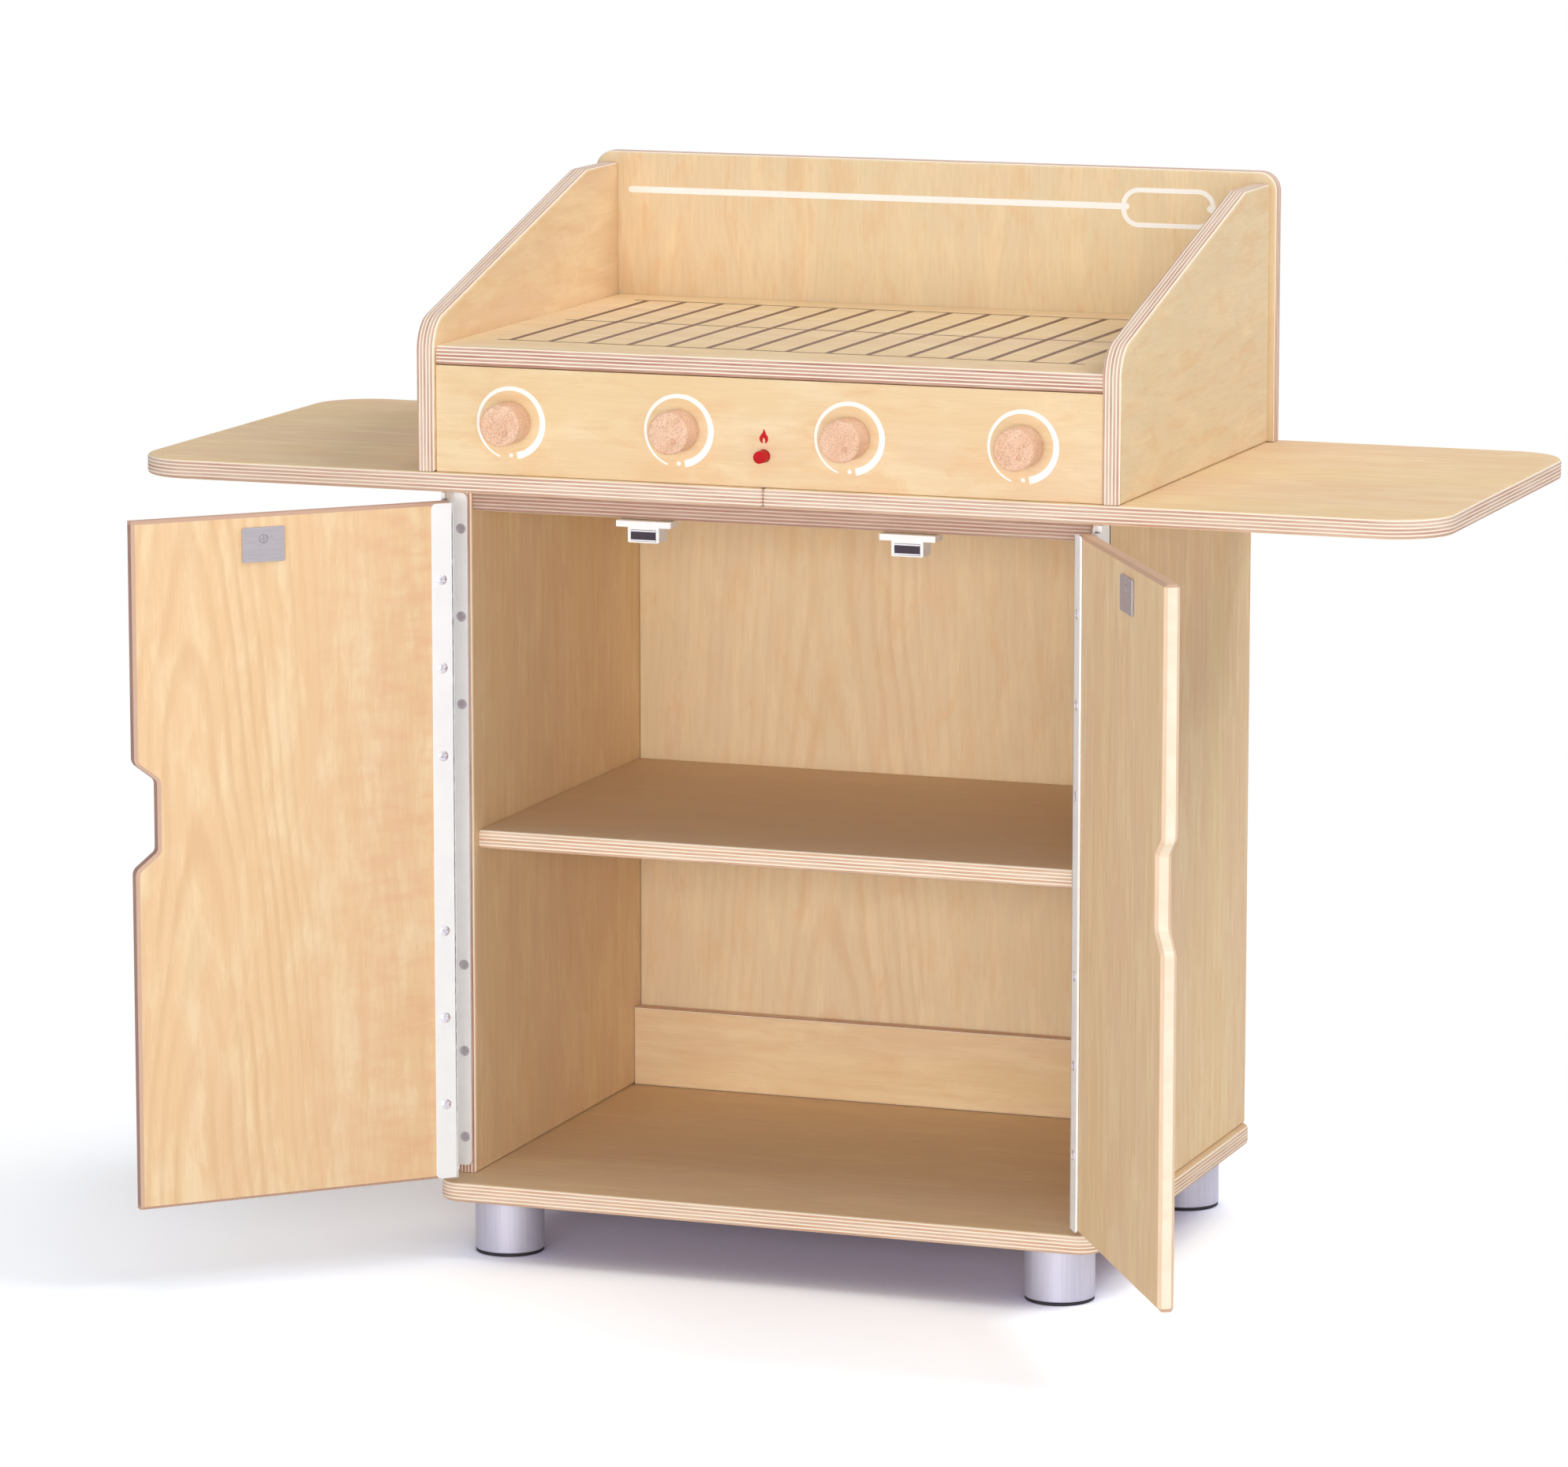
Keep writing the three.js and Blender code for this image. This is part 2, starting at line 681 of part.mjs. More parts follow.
// Heights of every second knuckle between the flange's foot and the leaf's head, from a leaf's first
function knuckleHeights(firstKnuckle) {
  const pitch = (leafHead - flangeFoot + knuckleGap) / knuckleCount;
  const heights = [];
  for (let index = firstKnuckle; index < knuckleCount; index += 2) {
    const foot = flangeFoot + index * pitch;
    heights.push([foot, foot + pitch - knuckleGap]);
  }
  return heights;
}

// Hinge pin: a rod through all the knuckles, with a head beyond each end
function pinGeometry() {
  const [foot, head] = [flangeFoot - seat, leafHead + seat];
  return turned([
    [0, foot - pinHeadHeight], [pinHeadRadius, foot - pinHeadHeight], [pinHeadRadius, foot],
    [pinRadius, foot], [pinRadius, head],
    [pinHeadRadius, head], [pinHeadRadius, head + pinHeadHeight], [0, head + pinHeadHeight],
  ], smallSides);
}

buildBase();
buildCabinet();
buildCounter();
buildGrillBox();
buildKnobs();
buildIgniter();
buildCatches();
buildDoors();

// Origin: the middle of the outer box with both doors open, on the floor
const outerBox = new THREE.Box3().setFromObject(grill, true);
const middle = outerBox.getCenter(new THREE.Vector3());
grill.position.set(-middle.x, -middle.y, -outerBox.min.z);

export default grill;
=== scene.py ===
"""Looks of the toy barbecue grill: birch plywood boards, printed marks, knobs, hinges, catches and legs.

Metres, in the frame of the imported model. Sizes of marks and small parts are written in millimetres times MM.
"""

import json
import math

import bmesh
import bpy
from mathutils import Matrix, Vector
from mathutils.geometry import tessellate_polygon


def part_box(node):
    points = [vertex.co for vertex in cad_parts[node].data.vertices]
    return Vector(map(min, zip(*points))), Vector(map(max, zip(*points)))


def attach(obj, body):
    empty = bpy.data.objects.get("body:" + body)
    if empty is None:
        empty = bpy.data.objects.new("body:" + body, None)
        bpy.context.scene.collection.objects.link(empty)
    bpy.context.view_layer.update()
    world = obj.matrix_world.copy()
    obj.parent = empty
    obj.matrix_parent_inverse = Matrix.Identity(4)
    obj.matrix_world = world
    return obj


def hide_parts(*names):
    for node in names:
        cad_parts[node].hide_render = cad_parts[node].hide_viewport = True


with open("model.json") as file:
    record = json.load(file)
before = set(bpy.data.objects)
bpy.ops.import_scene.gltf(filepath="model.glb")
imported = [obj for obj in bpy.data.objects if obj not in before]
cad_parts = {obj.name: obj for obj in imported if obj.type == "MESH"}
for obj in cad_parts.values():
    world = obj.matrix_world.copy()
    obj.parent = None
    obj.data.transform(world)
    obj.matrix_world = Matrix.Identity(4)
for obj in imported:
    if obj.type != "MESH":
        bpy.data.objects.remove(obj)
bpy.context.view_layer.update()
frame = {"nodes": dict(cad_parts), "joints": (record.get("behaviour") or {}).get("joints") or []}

MM = 0.001
SIDES = (("left", -1), ("right", 1))

# Nodes of the knobs, with the first word of their bodies' names
KNOBS = {"knob_1": "first", "knob_2": "second", "knob_3": "third", "knob_4": "fourth"}

# Finish of the meshes
ARC_STEP = math.radians(6)
EDGE_STEPS = 5
TURN_SIDES = 72
SHARP_ANGLE = math.radians(38)
MERGE_DISTANCE = 1e-6

# Boards
EDGE_ROUND = 2.5 * MM
DOOR_CHAMFER = 2.5 * MM
VENEER = 0.7 * MM
DOOR_SKIN = 0.12 * MM
PLY = 1.36 * MM

# Joints of the frame, by name
JOINTS = {joint["name"]: joint for joint in frame["joints"]}


def srgb(red, green, blue):
    """Linear colour of an 8-bit screen colour."""
    def linear(value):
        value /= 255
        return value / 12.92 if value <= 0.04045 else ((value + 0.055) / 1.055) ** 2.4
    return (linear(red), linear(green), linear(blue), 1.0)


class Graph:
    """A node tree that grows by calls, most of which return an output socket."""

    def __init__(self, owner):
        owner.use_nodes = True
        self.owner = owner
        self.tree = owner.node_tree
        self.tree.nodes.clear()

    def join(self, source, target):
        """Links a socket, or sets the target's value."""
        if isinstance(source, bpy.types.NodeSocket):
            self.tree.links.new(source, target)
        else:
            target.default_value = source

    def node(self, kind, inputs=(), **settings):
        """Node with its settings, and with sockets or values on its inputs, in order or by name."""
        node = self.tree.nodes.new(f"ShaderNode{kind}")
        for key, value in settings.items():
            setattr(node, key, value)
        named = inputs if isinstance(inputs, dict) else dict(enumerate(inputs))
        for key, value in named.items():
            self.join(value, node.inputs[key])
        return node

    def place(self):
        """Place in the piece's own axes."""
        return self.node("TexCoord").outputs["Object"]

    def split(self, vector):
        return tuple(self.node("SeparateXYZ", [vector]).outputs)

    def math(self, operation, *values):
        return self.node("Math", values, operation=operation).outputs[0]

    def stretched(self, place, scales, shifts):
        """Place scaled and shifted along each axis."""
        moves = [self.math("MULTIPLY_ADD", *move) for move in zip(place, scales, shifts)]
        return self.node("CombineXYZ", moves).outputs[0]

    def length(self, vector):
        return self.node("VectorMath", [vector], operation="LENGTH").outputs["Value"]

    def noise(self, vector, detail=2.0, roughness=0.5, distortion=0.0, scale=1.0):
        return self.node("TexNoise", {
            "Vector": vector, "Scale": scale, "Detail": detail, "Roughness": roughness,
            "Distortion": distortion,
        }).outputs["Fac"]

    def spread(self, value, low, high, start=0.0, end=1.0):
        """Value between low and high, spread smoothly from start to end."""
        inputs = (value, low, high, start, end)
        return self.node("MapRange", inputs, interpolation_type="SMOOTHSTEP").outputs[0]

    def mix(self, share, first, second):
        return self.node("Mix", {0: share, 6: first, 7: second}, data_type="RGBA").outputs[2]

    def tint(self, color, tint, value, low, high, most=1.0):
        """Colour under a tint, whose share grows to its most as a value goes from low to high."""
        return self.mix(self.spread(value, low, high, 0.0, most), color, tint)

    def bump(self, height, strength, distance):
        inputs = {"Strength": strength, "Distance": distance, "Height": height}
        return self.node("Bump", inputs).outputs["Normal"]

    def seen_directly(self):
        """Share that is one for camera, glossy and transmission rays."""
        path = self.node("LightPath").outputs
        share = path["Is Camera Ray"]
        for name in ("Is Glossy Ray", "Is Transmission Ray"):
            share = self.math("MAXIMUM", share, path[name])
        return share

    def show(self, shader, output="OutputMaterial"):
        """Owner of the tree, with that shader on it."""
        self.node(output, {"Surface": shader.outputs[0]})
        return self.owner

    def surface(self, color, roughness, normal, specular=0.5, metallic=0.0):
        """Finished material; each plain number is set on the shader's own socket."""
        return self.show(self.node("BsdfPrincipled", {
            "Base Color": color, "Roughness": roughness, "Normal": normal,
            "Specular IOR Level": specular, "Metallic": metallic,
        }))


def new_graph(name):
    """Graph of a new material."""
    return Graph(bpy.data.materials.new(name))


# Colours of the wood
BIRCH_LIGHT = srgb(246, 223, 184)
BIRCH_GOLD = srgb(240, 212, 166)
BIRCH_ROSE = srgb(237, 206, 170)
BIRCH_WARM = srgb(236, 197, 150)
BIRCH_LINE = srgb(218, 176, 130)
BIRCH_PALE = srgb(233, 214, 181)
BIRCH_PEACH = srgb(239, 200, 157)
BIRCH_LEMON = srgb(236, 218, 182)
# Darker birch, painted shade for the boards that stand in shade inside the cabinet
BIRCH_PAINTED_SHADE = srgb(212, 190, 168)
BIRCH_BLUSH = srgb(232, 184, 146)
PLY_CREAM = srgb(255, 243, 223)
PLY_PINK = srgb(196, 142, 126)
PLY_ORANGE = srgb(212, 154, 112)
PLY_DARK = srgb(156, 104, 90)
# Painted shade over a plywood edge that lies in shade
PLY_PAINTED_SHADE = srgb(150, 118, 108)
# Colours of a door's flat side edge, of its chamfers and of its top and bottom edge. These hold painted shade:
# the left door's are darker, as its edge lies in shade, the flat edge and chamfers differ by how each faces
# the light, and the top and bottom edges are darker as they lie in shade.
DOOR_EDGES_WITH_PAINTED_SHADE = {
    "left": ((172, 138, 128), (216, 182, 160), (206, 170, 150)),
    "right": ((252, 237, 214), (242, 213, 184), (206, 172, 148)),
}
BEECH_LIGHT = srgb(248, 210, 180)
BEECH_MID = srgb(240, 195, 163)
BEECH_DARK = srgb(176, 118, 92)


def between(first, second, share):
    """Colour that is part of the way from one to another."""
    return tuple(a + (b - a) * share for a, b in zip(first, second))


# Noises of a birch face: scales along and across the grain and shift; detail, roughness and distortion
FACE_NOISES = {
    "fibre": ((34.0, 600.0, 3.1), (3.0, 0.6, 0.0)),
    "streak": ((11.0, 190.0, 7.7), (3.0, 0.6, 0.3)),
    "band": ((1.6, 13.0, 67.0), (2.0, 0.5, 0.3)),
    "cloud": ((12.0, 42.0, 12.3), (4.0, 0.65, 0.4)),
    "patch": ((20.0, 60.0, 83.0), (3.0, 0.6, 0.6)),
    "ripple": ((85.0, 30.0, 19.9), (2.0, 0.5, 0.0)),
    "strength": ((5.0, 26.0, 41.0), (2.0, 0.5, 0.0)),
    "fleck": ((95.0, 1150.0, 53.0), (1.0, 0.5, 0.0)),
}
FACE_DEPTH_SCALE = 20.0
SEED_ACROSS, SEED_DEPTH = 1.7, 0.37

# Values of a phase, a noise or a distance between which a feature of the face grows
LINE_RISE = (0.3, 0.72)
LINE_FALL = (1.0, 0.76)
LINE_PLACES = (0.3, 0.66)
LINE_FADE = (0.05, 0.12)
GOLD_PLACES = (0.36, 0.66)
WASH_PLACES = (0.2, 0.5)
RIPPLE_PLACES = (0.4, 0.7)

# Least lines and wash as shares of their most, and the most of the ripples
LINE_LEAST = 0.3
WASH_LEAST = 0.8
RIPPLE_SHARE = 0.6

# Tints: colour, noise, the values between which it grows, and the look's name for its share
FACE_TINTS = (
    (BIRCH_LIGHT, "cloud", 0.42, 0.68, "clouds"),
    (BIRCH_WARM, "patch", 0.48, 0.7, "warmth"),
    (BIRCH_LINE, "streak", 0.42, 0.78, "streaks"),
)

# Tints in the colour of the lines: the values between which each grows, and its share
FIBRE_TINT = (0.4, 0.8, 0.2)
FLECK_TINT = (0.68, 0.8, 0.3)


def growth_lines(graph, rings, across, strength, look):
    """Share of the dark lines: sharp on one side of each ring, and weaker in places and off the axis."""
    phase = graph.math("FRACT", rings)
    line = graph.math("MULTIPLY", graph.spread(phase, *LINE_RISE), graph.spread(phase, *LINE_FALL))
    most = look["lines"]
    line = graph.math("MULTIPLY", line, graph.spread(strength, *LINE_PLACES, most * LINE_LEAST, most))
    away = graph.math("ABSOLUTE", graph.math("SUBTRACT", across, look["axis"]))
    return graph.math("MULTIPLY", line, graph.spread(away, *LINE_FADE, 1.0, look["beyond"]))


def veneer(graph, place, seed, figure, look):
    """Colour of a birch face, and its fibres; place is along, across and into the grain."""
    along, across, _ = place

    def stretched(along_scale, across_scale, shift):
        scales = (along_scale, across_scale, FACE_DEPTH_SCALE)
        shifts = (seed + shift, seed * SEED_ACROSS - shift, seed * SEED_DEPTH)
        return graph.stretched(place, scales, shifts)

    noise = {name: graph.noise(stretched(*scales), *kind) for name, (scales, kind) in FACE_NOISES.items()}
    rings = figure(graph, along, across, stretched)
    line = growth_lines(graph, rings, across, noise["strength"], look)
    wash = graph.spread(noise["band"], *WASH_PLACES, look["wash"] * WASH_LEAST, look["wash"])
    ripple = graph.math("MULTIPLY", graph.spread(across, *look["ripple"], 0.0, RIPPLE_SHARE),
                        graph.spread(noise["ripple"], *RIPPLE_PLACES))

    color = graph.tint(BIRCH_ROSE, BIRCH_GOLD, noise["band"], *GOLD_PLACES)
    # The tone is painted shade on the shelf and base, and the board's own tone on the rest
    color = graph.mix(wash, color, look["tone_and_painted_shade"])
    for tint, kind, low, high, share in FACE_TINTS:
        color = graph.tint(color, tint, noise[kind], low, high, look[share])
    color = graph.mix(line, color, BIRCH_LINE)
    color = graph.tint(color, BIRCH_LINE, noise["fibre"], *FIBRE_TINT)
    color = graph.mix(ripple, color, BIRCH_BLUSH)
    return graph.tint(color, BIRCH_LINE, noise["fleck"], *FLECK_TINT), noise["fibre"]


def face_look(lines, warmth, streaks, wash, tone_and_painted_shade=BIRCH_PALE, ripple=(0.8, 0.9), axis=0.0, beyond=1.0,
              clouds=0.75):
    """Strengths of a face's features, its tone (painted shade on the shelf and base), where ripples start and
    end, and how lines fade off an axis.
    """
    return {
        "lines": lines, "warmth": warmth, "streaks": streaks, "wash": wash, "tone_and_painted_shade": tone_and_painted_shade,
        "ripple": ripple, "axis": axis, "beyond": beyond, "clouds": clouds,
    }


BACK_AXIS = -82 * MM
PLAIN_LOOK = face_look(0.14, 0.4, 0.12, 0.1)
BACK_LOOK = face_look(0.3, 0.45, 0.06, 0.7, axis=BACK_AXIS, beyond=0.3, clouds=0.6)
PANEL_LOOK = face_look(0.05, 0.6, 0.1, 0.0)
GRILL_LOOK = face_look(0.08, 0.5, 0.08, 0.8, BIRCH_LEMON)
QUIET_LOOK = face_look(0.1, 0.25, 0.12, 0.2)
# The shelf and base take a darker tone as painted shade, as they stand in shade inside the cabinet
SHELF_LOOK = face_look(0.1, 0.1, 0.12, 0.8, BIRCH_PAINTED_SHADE, clouds=0.1)
BASE_LOOK = face_look(0.1, 0.15, 0.15, 0.45, BIRCH_PAINTED_SHADE, clouds=0.3)
LEFT_DOOR_LOOK = face_look(0.42, 0.35, 0.1, 0.65, BIRCH_PEACH, (0.02, -0.12), beyond=0.25)
RIGHT_DOOR_LOOK = face_look(0.1, 0.25, 0.34, 0.2)

# Warp of the growth lines
FIGURE_SHIFT = 31.0
WARP_ROUGHNESS = 0.4
ARCH_WARP = (4.5, 9.0)


def flowing_figure(pitch, swirl, along_scale=3.0, across_scale=12.0):
    """Growth lines along the grain, which close into long ovals where the swirl is strong."""
    def figure(graph, along, across, stretched):
        warp = graph.noise(stretched(along_scale, across_scale, FIGURE_SHIFT), 1.0, WARP_ROUGHNESS)
        return graph.math("MULTIPLY_ADD", warp, swirl, graph.math("MULTIPLY", across, 1 / pitch))
    return figure


def arched_figure(axis, rise, curve, shoulder, wander):
    """Growth lines that nest as arches, open below: their legs straighten beyond the shoulder."""
    def figure(graph, along, across, stretched):
        warp = graph.noise(stretched(*ARCH_WARP, FIGURE_SHIFT), 2.0, WARP_ROUGHNESS)
        offset = graph.math("SUBTRACT", across, axis)
        square = graph.math("MULTIPLY", graph.math("MULTIPLY", offset, offset), curve)
        widening = graph.math("MULTIPLY_ADD", graph.math("ABSOLUTE", offset), 1 / shoulder, 1.0)
        drop = graph.math("DIVIDE", square, widening)
        rings = graph.math("MULTIPLY", graph.math("ADD", along, drop), rise)
        return graph.math("MULTIPLY_ADD", warp, wander, rings)
    return figure


# Figures of the boards; the left door's arches are rise, curve, shoulder and wander, about its own axis
PLAIN_FIGURE = flowing_figure(13 * MM, 2.4)
PANEL_FIGURE = flowing_figure(11 * MM, 4.0)
GRILL_SIDE_FIGURE = flowing_figure(17 * MM, 4.5, 7.0, 9.0)
GRILL_BACK_FIGURE = flowing_figure(7 * MM, 8.0, 9.0, 17.0)
BACK_FIGURE = arched_figure(BACK_AXIS, 9.0, 260.0, 50 * MM, 3.0)
RIGHT_DOOR_FIGURE = flowing_figure(9 * MM, 3.0)
LEFT_DOOR_ARCHES = (9.0, 330.0, 40 * MM, 2.8)

# Streaks of an edge: scales along the board and through it, shift, detail and roughness
EDGE_WAVER = (7.0, 0.0, 2.0, 2.0, 0.5)
EDGE_STREAK = (45.0, 1500.0, 5.0, 3.0, 0.7)
EDGE_PATCH = (14.0, 420.0, 11.0, 2.0, 0.5)
WAVER_SHARE = 0.25
DARK_SHARE = 0.75

# Values between which an edge's features grow
CREAM_RISE, CREAM_FALL = (0.02, 0.08), (0.44, 0.38)
STREAK_PLACES, PATCH_PLACES, PAINTED_SHADE_PLACES = (0.44, 0.7), (0.3, 0.7), (0.3, 0.6)

# Least and most cream of a patch before the darker plies' share is taken off, and the least painted shade
PATCH_LEAST, PATCH_MOST = 0.9, 1.2
PAINTED_SHADE_LEAST = 0.8

# Edges, as the share of orange in their plies, the share of darker plies and the painted shade over an edge
# that lies in shade
PINK_EDGE = (0.0, 0.9, 0.0)
PALE_EDGE = (0.1, 0.75, 0.0)
ORANGE_EDGE = (0.8, 0.72, 0.0)
PAINTED_SHADE_EDGE = (0.0, 0.9, 0.55)

# Gloss at a low and a high value of the fibres, their relief, and the blur where an edge meets a face
BIRCH_ROUGHNESS = (0.2, 0.8, 0.58, 0.72)
BIRCH_SPECULAR = 0.1
FIBRE_BUMP = 0.1
FIBRE_HEIGHT = 0.15 * MM
BLUR = 0.1 * MM

# Fibres of a door's edge: share of the line colour, and the values between which they grow
DOOR_LINE_SHARE = 0.25
DOOR_FIBRES = (0.3, 0.8)


def edge_color(graph, place, thickness, edge):
    """Colour of a plywood edge: cream plies between darker ones, with thin streaks along the edge, and painted
    shade over it where the edge is given some.
    """
    hue, blush, painted_shade = edge
    ply = between(PLY_PINK, PLY_ORANGE, hue)

    def lengthwise(run, rise, shift, *kind):
        return graph.noise(graph.stretched(place, (run, run, rise), (shift, -shift, 0.0)), *kind)

    level = graph.math("MULTIPLY_ADD", place[2], 1 / (2 * PLY), thickness / (4 * PLY))
    phase = graph.math("FRACT", graph.math("MULTIPLY_ADD", lengthwise(*EDGE_WAVER), WAVER_SHARE, level))
    cream = graph.math("MULTIPLY", graph.spread(phase, *CREAM_RISE), graph.spread(phase, *CREAM_FALL))
    streak = lengthwise(*EDGE_STREAK)
    patch = lengthwise(*EDGE_PATCH)
    pale = graph.spread(patch, *PATCH_PLACES, PATCH_LEAST - blush, PATCH_MOST - blush)
    color = graph.tint(ply, between(ply, PLY_DARK, DARK_SHARE), streak, *STREAK_PLACES)
    for share in (pale, cream):
        color = graph.mix(share, color, PLY_CREAM)
    # Painted shade over the edge, streaked along it, where the edge is given some
    return graph.mix(graph.spread(streak, *PAINTED_SHADE_PLACES, painted_shade * PAINTED_SHADE_LEAST, painted_shade), color, PLY_PAINTED_SHADE)


def birch(name, grain, thickness, seed, figure, look, edge):
    """Birch plywood in a board's own axes: its face is its X and Y, and Z runs through its thickness."""
    graph = new_graph(name)
    x, y, z = graph.split(graph.place())
    place = (x, y, z) if grain == "x" else (y, x, z)
    face, fibre = veneer(graph, place, seed, figure, look)
    side = edge_color(graph, (x, y, z), thickness, edge)
    return finish_birch(graph, face, side, z, thickness / 2 - VENEER, fibre)


def door_birch(name, height, seed, figure, look, colors):
    """Solid birch of a door, whose edge, chamfers and ends have colours of their own, with painted shade in
    them.
    """
    graph = new_graph(name)
    x, y, z = graph.split(graph.place())
    face, fibre = veneer(graph, (y, x, z), seed, figure, look)
    colors = [srgb(*color) for color in colors]
    # Side, chamfer and end colours hold painted shade: darker on the left door's edge, and on the top and
    # bottom edges
    side, chamfer, end = (
        graph.tint(color, between(color, BIRCH_LINE, DOOR_LINE_SHARE), fibre, *DOOR_FIBRES)
        for color in colors
    )
    for value, size, color in ((z, DOOR_THICKNESS, chamfer), (y, height, end)):
        corner = size / 2 - DOOR_CHAMFER
        reach = graph.math("ABSOLUTE", value)
        side = graph.tint(side, color, reach, corner - BLUR, corner + BLUR)
    return finish_birch(graph, face, side, z, DOOR_THICKNESS / 2 - DOOR_SKIN, fibre)


def finish_birch(graph, face, side, z, skin, fibre):
    """Face colour outside the skin's depth and edge colour inside it, with the fibres' bump and gloss."""
    color = graph.tint(face, side, graph.math("ABSOLUTE", z), skin + BLUR, skin - BLUR)
    roughness = graph.spread(fibre, *BIRCH_ROUGHNESS)
    normal = graph.bump(fibre, FIBRE_BUMP, FIBRE_HEIGHT)
    return graph.surface(color, roughness, normal, BIRCH_SPECULAR)


def rotate_round(vector, angle):
    """Direction turned in its plane."""
    x, y = vector
    return (x * math.cos(angle) - y * math.sin(angle), x * math.sin(angle) + y * math.cos(angle))


def rounded(corners):
    """Outline through corners, counterclockwise; a corner is x and y, and its radius where it has one."""
    points = []
    count = len(corners)
    for index, (x, y, *radii) in enumerate(corners):
        corner = Vector((x, y))
        radius = sum(radii)
        if not radius:
            points.append(corner)
            continue
        before = (Vector(corners[index - 1][:2]) - corner).normalized()
        after = (Vector(corners[(index + 1) % count][:2]) - corner).normalized()
        half = before.angle(after) / 2
        centre = corner + (before + after).normalized() * (radius / math.sin(half))
        start = corner + before * (radius / math.tan(half)) - centre
        turn = math.pi - 2 * half
        if before.cross(after) > 0:
            turn = -turn
        steps = max(2, math.ceil(abs(turn) / ARC_STEP))
        points += [centre + Vector(rotate_round(start, turn * step / steps)) for step in range(steps + 1)]
    return points


def box_outline(width, height, radii=(0, 0, 0, 0)):
    """Rectangle about the origin, with radii from the lower left corner on, counterclockwise."""
    x, y = width / 2, height / 2
    places = ((-x, -y), (x, -y), (x, y), (-x, y))
    return rounded([(*place, radius) for place, radius in zip(places, radii)])


def circle(x, y, radius, sides=48):
    """Round outline, counterclockwise."""
    turns = [2 * math.pi * side / sides for side in range(sides)]
    return [Vector((x + radius * math.cos(turn), y + radius * math.sin(turn))) for turn in turns]


def mitres(outline):
    """Outward offset of each point of an outline, for an inset of one."""
    sides = [(after - point).normalized() for point, after in zip(outline, outline[1:] + outline[:1])]
    normals = [Vector((side.y, -side.x)) for side in sides]
    befores = normals[-1:] + normals
    return [(normal + before) / (1 + normal.dot(before)) for normal, before in zip(normals, befores)]


def band(low, high, count):
    """Faces between two rings of as many points, each ring given by its first point."""
    faces = []
    for here in range(count):
        following = (here + 1) % count
        faces.append((low + here, high + here, high + following, low + following))
    return faces


def fan(ring, tip, count):
    """Faces between a ring, given by its first point, and a tip."""
    return [(ring + here, ring + (here + 1) % count, tip) for here in range(count)]


def filled(verts, loops):
    """Faces of a flat face, from the points of its rim and of its holes."""
    if len(loops) == 1:
        return [tuple(loops[0])]
    numbers = [index for loop in loops for index in loop]
    places = [[Vector(verts[index]) for index in loop] for loop in loops]
    return [tuple(numbers[corner] for corner in face) for face in tessellate_polygon(places)]


def slab(outline, thickness, edge=0.0, steps=EDGE_STEPS, holes=()):
    """Board between two faces about z 0: its edge is rounded in some steps, or chamfered in one."""
    offsets = mitres(outline)
    rings = []
    turns = [math.pi / 2 * step / steps for step in range(steps + 1)] if edge else [math.pi / 2]
    for turn in turns:
        inset = edge * (1 - math.sin(turn))
        z = thickness / 2 - edge * (1 - math.cos(turn))
        rings.append([(*(point - offset * inset), z) for point, offset in zip(outline, offsets)])
    rings += [[(x, y, -z) for x, y, z in ring] for ring in reversed(rings)]
    verts = [vert for ring in rings for vert in ring]
    count = len(outline)
    last = len(verts) - count
    faces = [face for start in range(0, last, count) for face in band(start, start + count, count)]
    cuts = []
    for rim, z in ((range(count), thickness / 2), (range(last, len(verts)), -thickness / 2)):
        loops = [rim]
        for hole in holes:
            loops.append(range(len(verts), len(verts) + len(hole)))
            verts += [(*point, z) for point in hole]
        faces += filled(verts, loops)
        cuts.append(loops[1:])
    for top, bottom in zip(*cuts):
        faces += band(top[0], bottom[0], len(top))
    return verts, faces


def lathe(profile, sides=TURN_SIDES):
    """Turned body about Z, from a profile of (radius, height); a radius of zero closes it."""
    verts, faces, rings = [], [], []
    for radius, height in profile:
        turns = [2 * math.pi * side / sides for side in range(sides)] if radius else [0.0]
        rings.append(range(len(verts), len(verts) + len(turns)))
        verts += [(radius * math.cos(turn), radius * math.sin(turn), height) for turn in turns]
    for low, high in zip(rings, rings[1:]):
        for side in range(sides):
            a, b = low[side % len(low)], low[(side + 1) % len(low)]
            c, d = high[(side + 1) % len(high)], high[side % len(high)]
            faces.append(tuple(dict.fromkeys((a, b, c, d))))
    return verts, [face for face in faces if len(face) > 2]


def rim_profile(radius, height, edge, steps=6):
    """Rounded rim of a turned body, from its side up to its flat end."""
    turns = [math.pi / 2 * step / steps for step in range(steps + 1)]
    return [(radius - edge + edge * math.cos(t), height - edge + edge * math.sin(t)) for t in turns]


def round_bar(radius, height, foot, head, sides):
    """Turned bar from z 0 up, with both rims rounded; foot and head are a rim's radius and steps."""
    lower = [(reach, height - z) for reach, z in reversed(rim_profile(radius, height, *foot))]
    return lathe([(0, 0), *lower, *rim_profile(radius, height, *head), (0, height)], sides)


def moved(part, matrix):
    """Part with its points moved by a matrix."""
    verts, faces = part
    return [tuple(matrix @ Vector(vert)) for vert in verts], faces


def at(x, y, z):
    return Matrix.Translation((x, y, z))


def axes(x_axis, y_axis, z_axis):
    """Rotation that takes X, Y and Z to three directions."""
    return Matrix((x_axis, y_axis, z_axis)).transposed().to_4x4()


FLAT = Matrix.Identity(4)
FRONT = axes((1, 0, 0), (0, 0, 1), (0, -1, 0))
SIDE = axes((0, 1, 0), (0, 0, 1), (1, 0, 0))


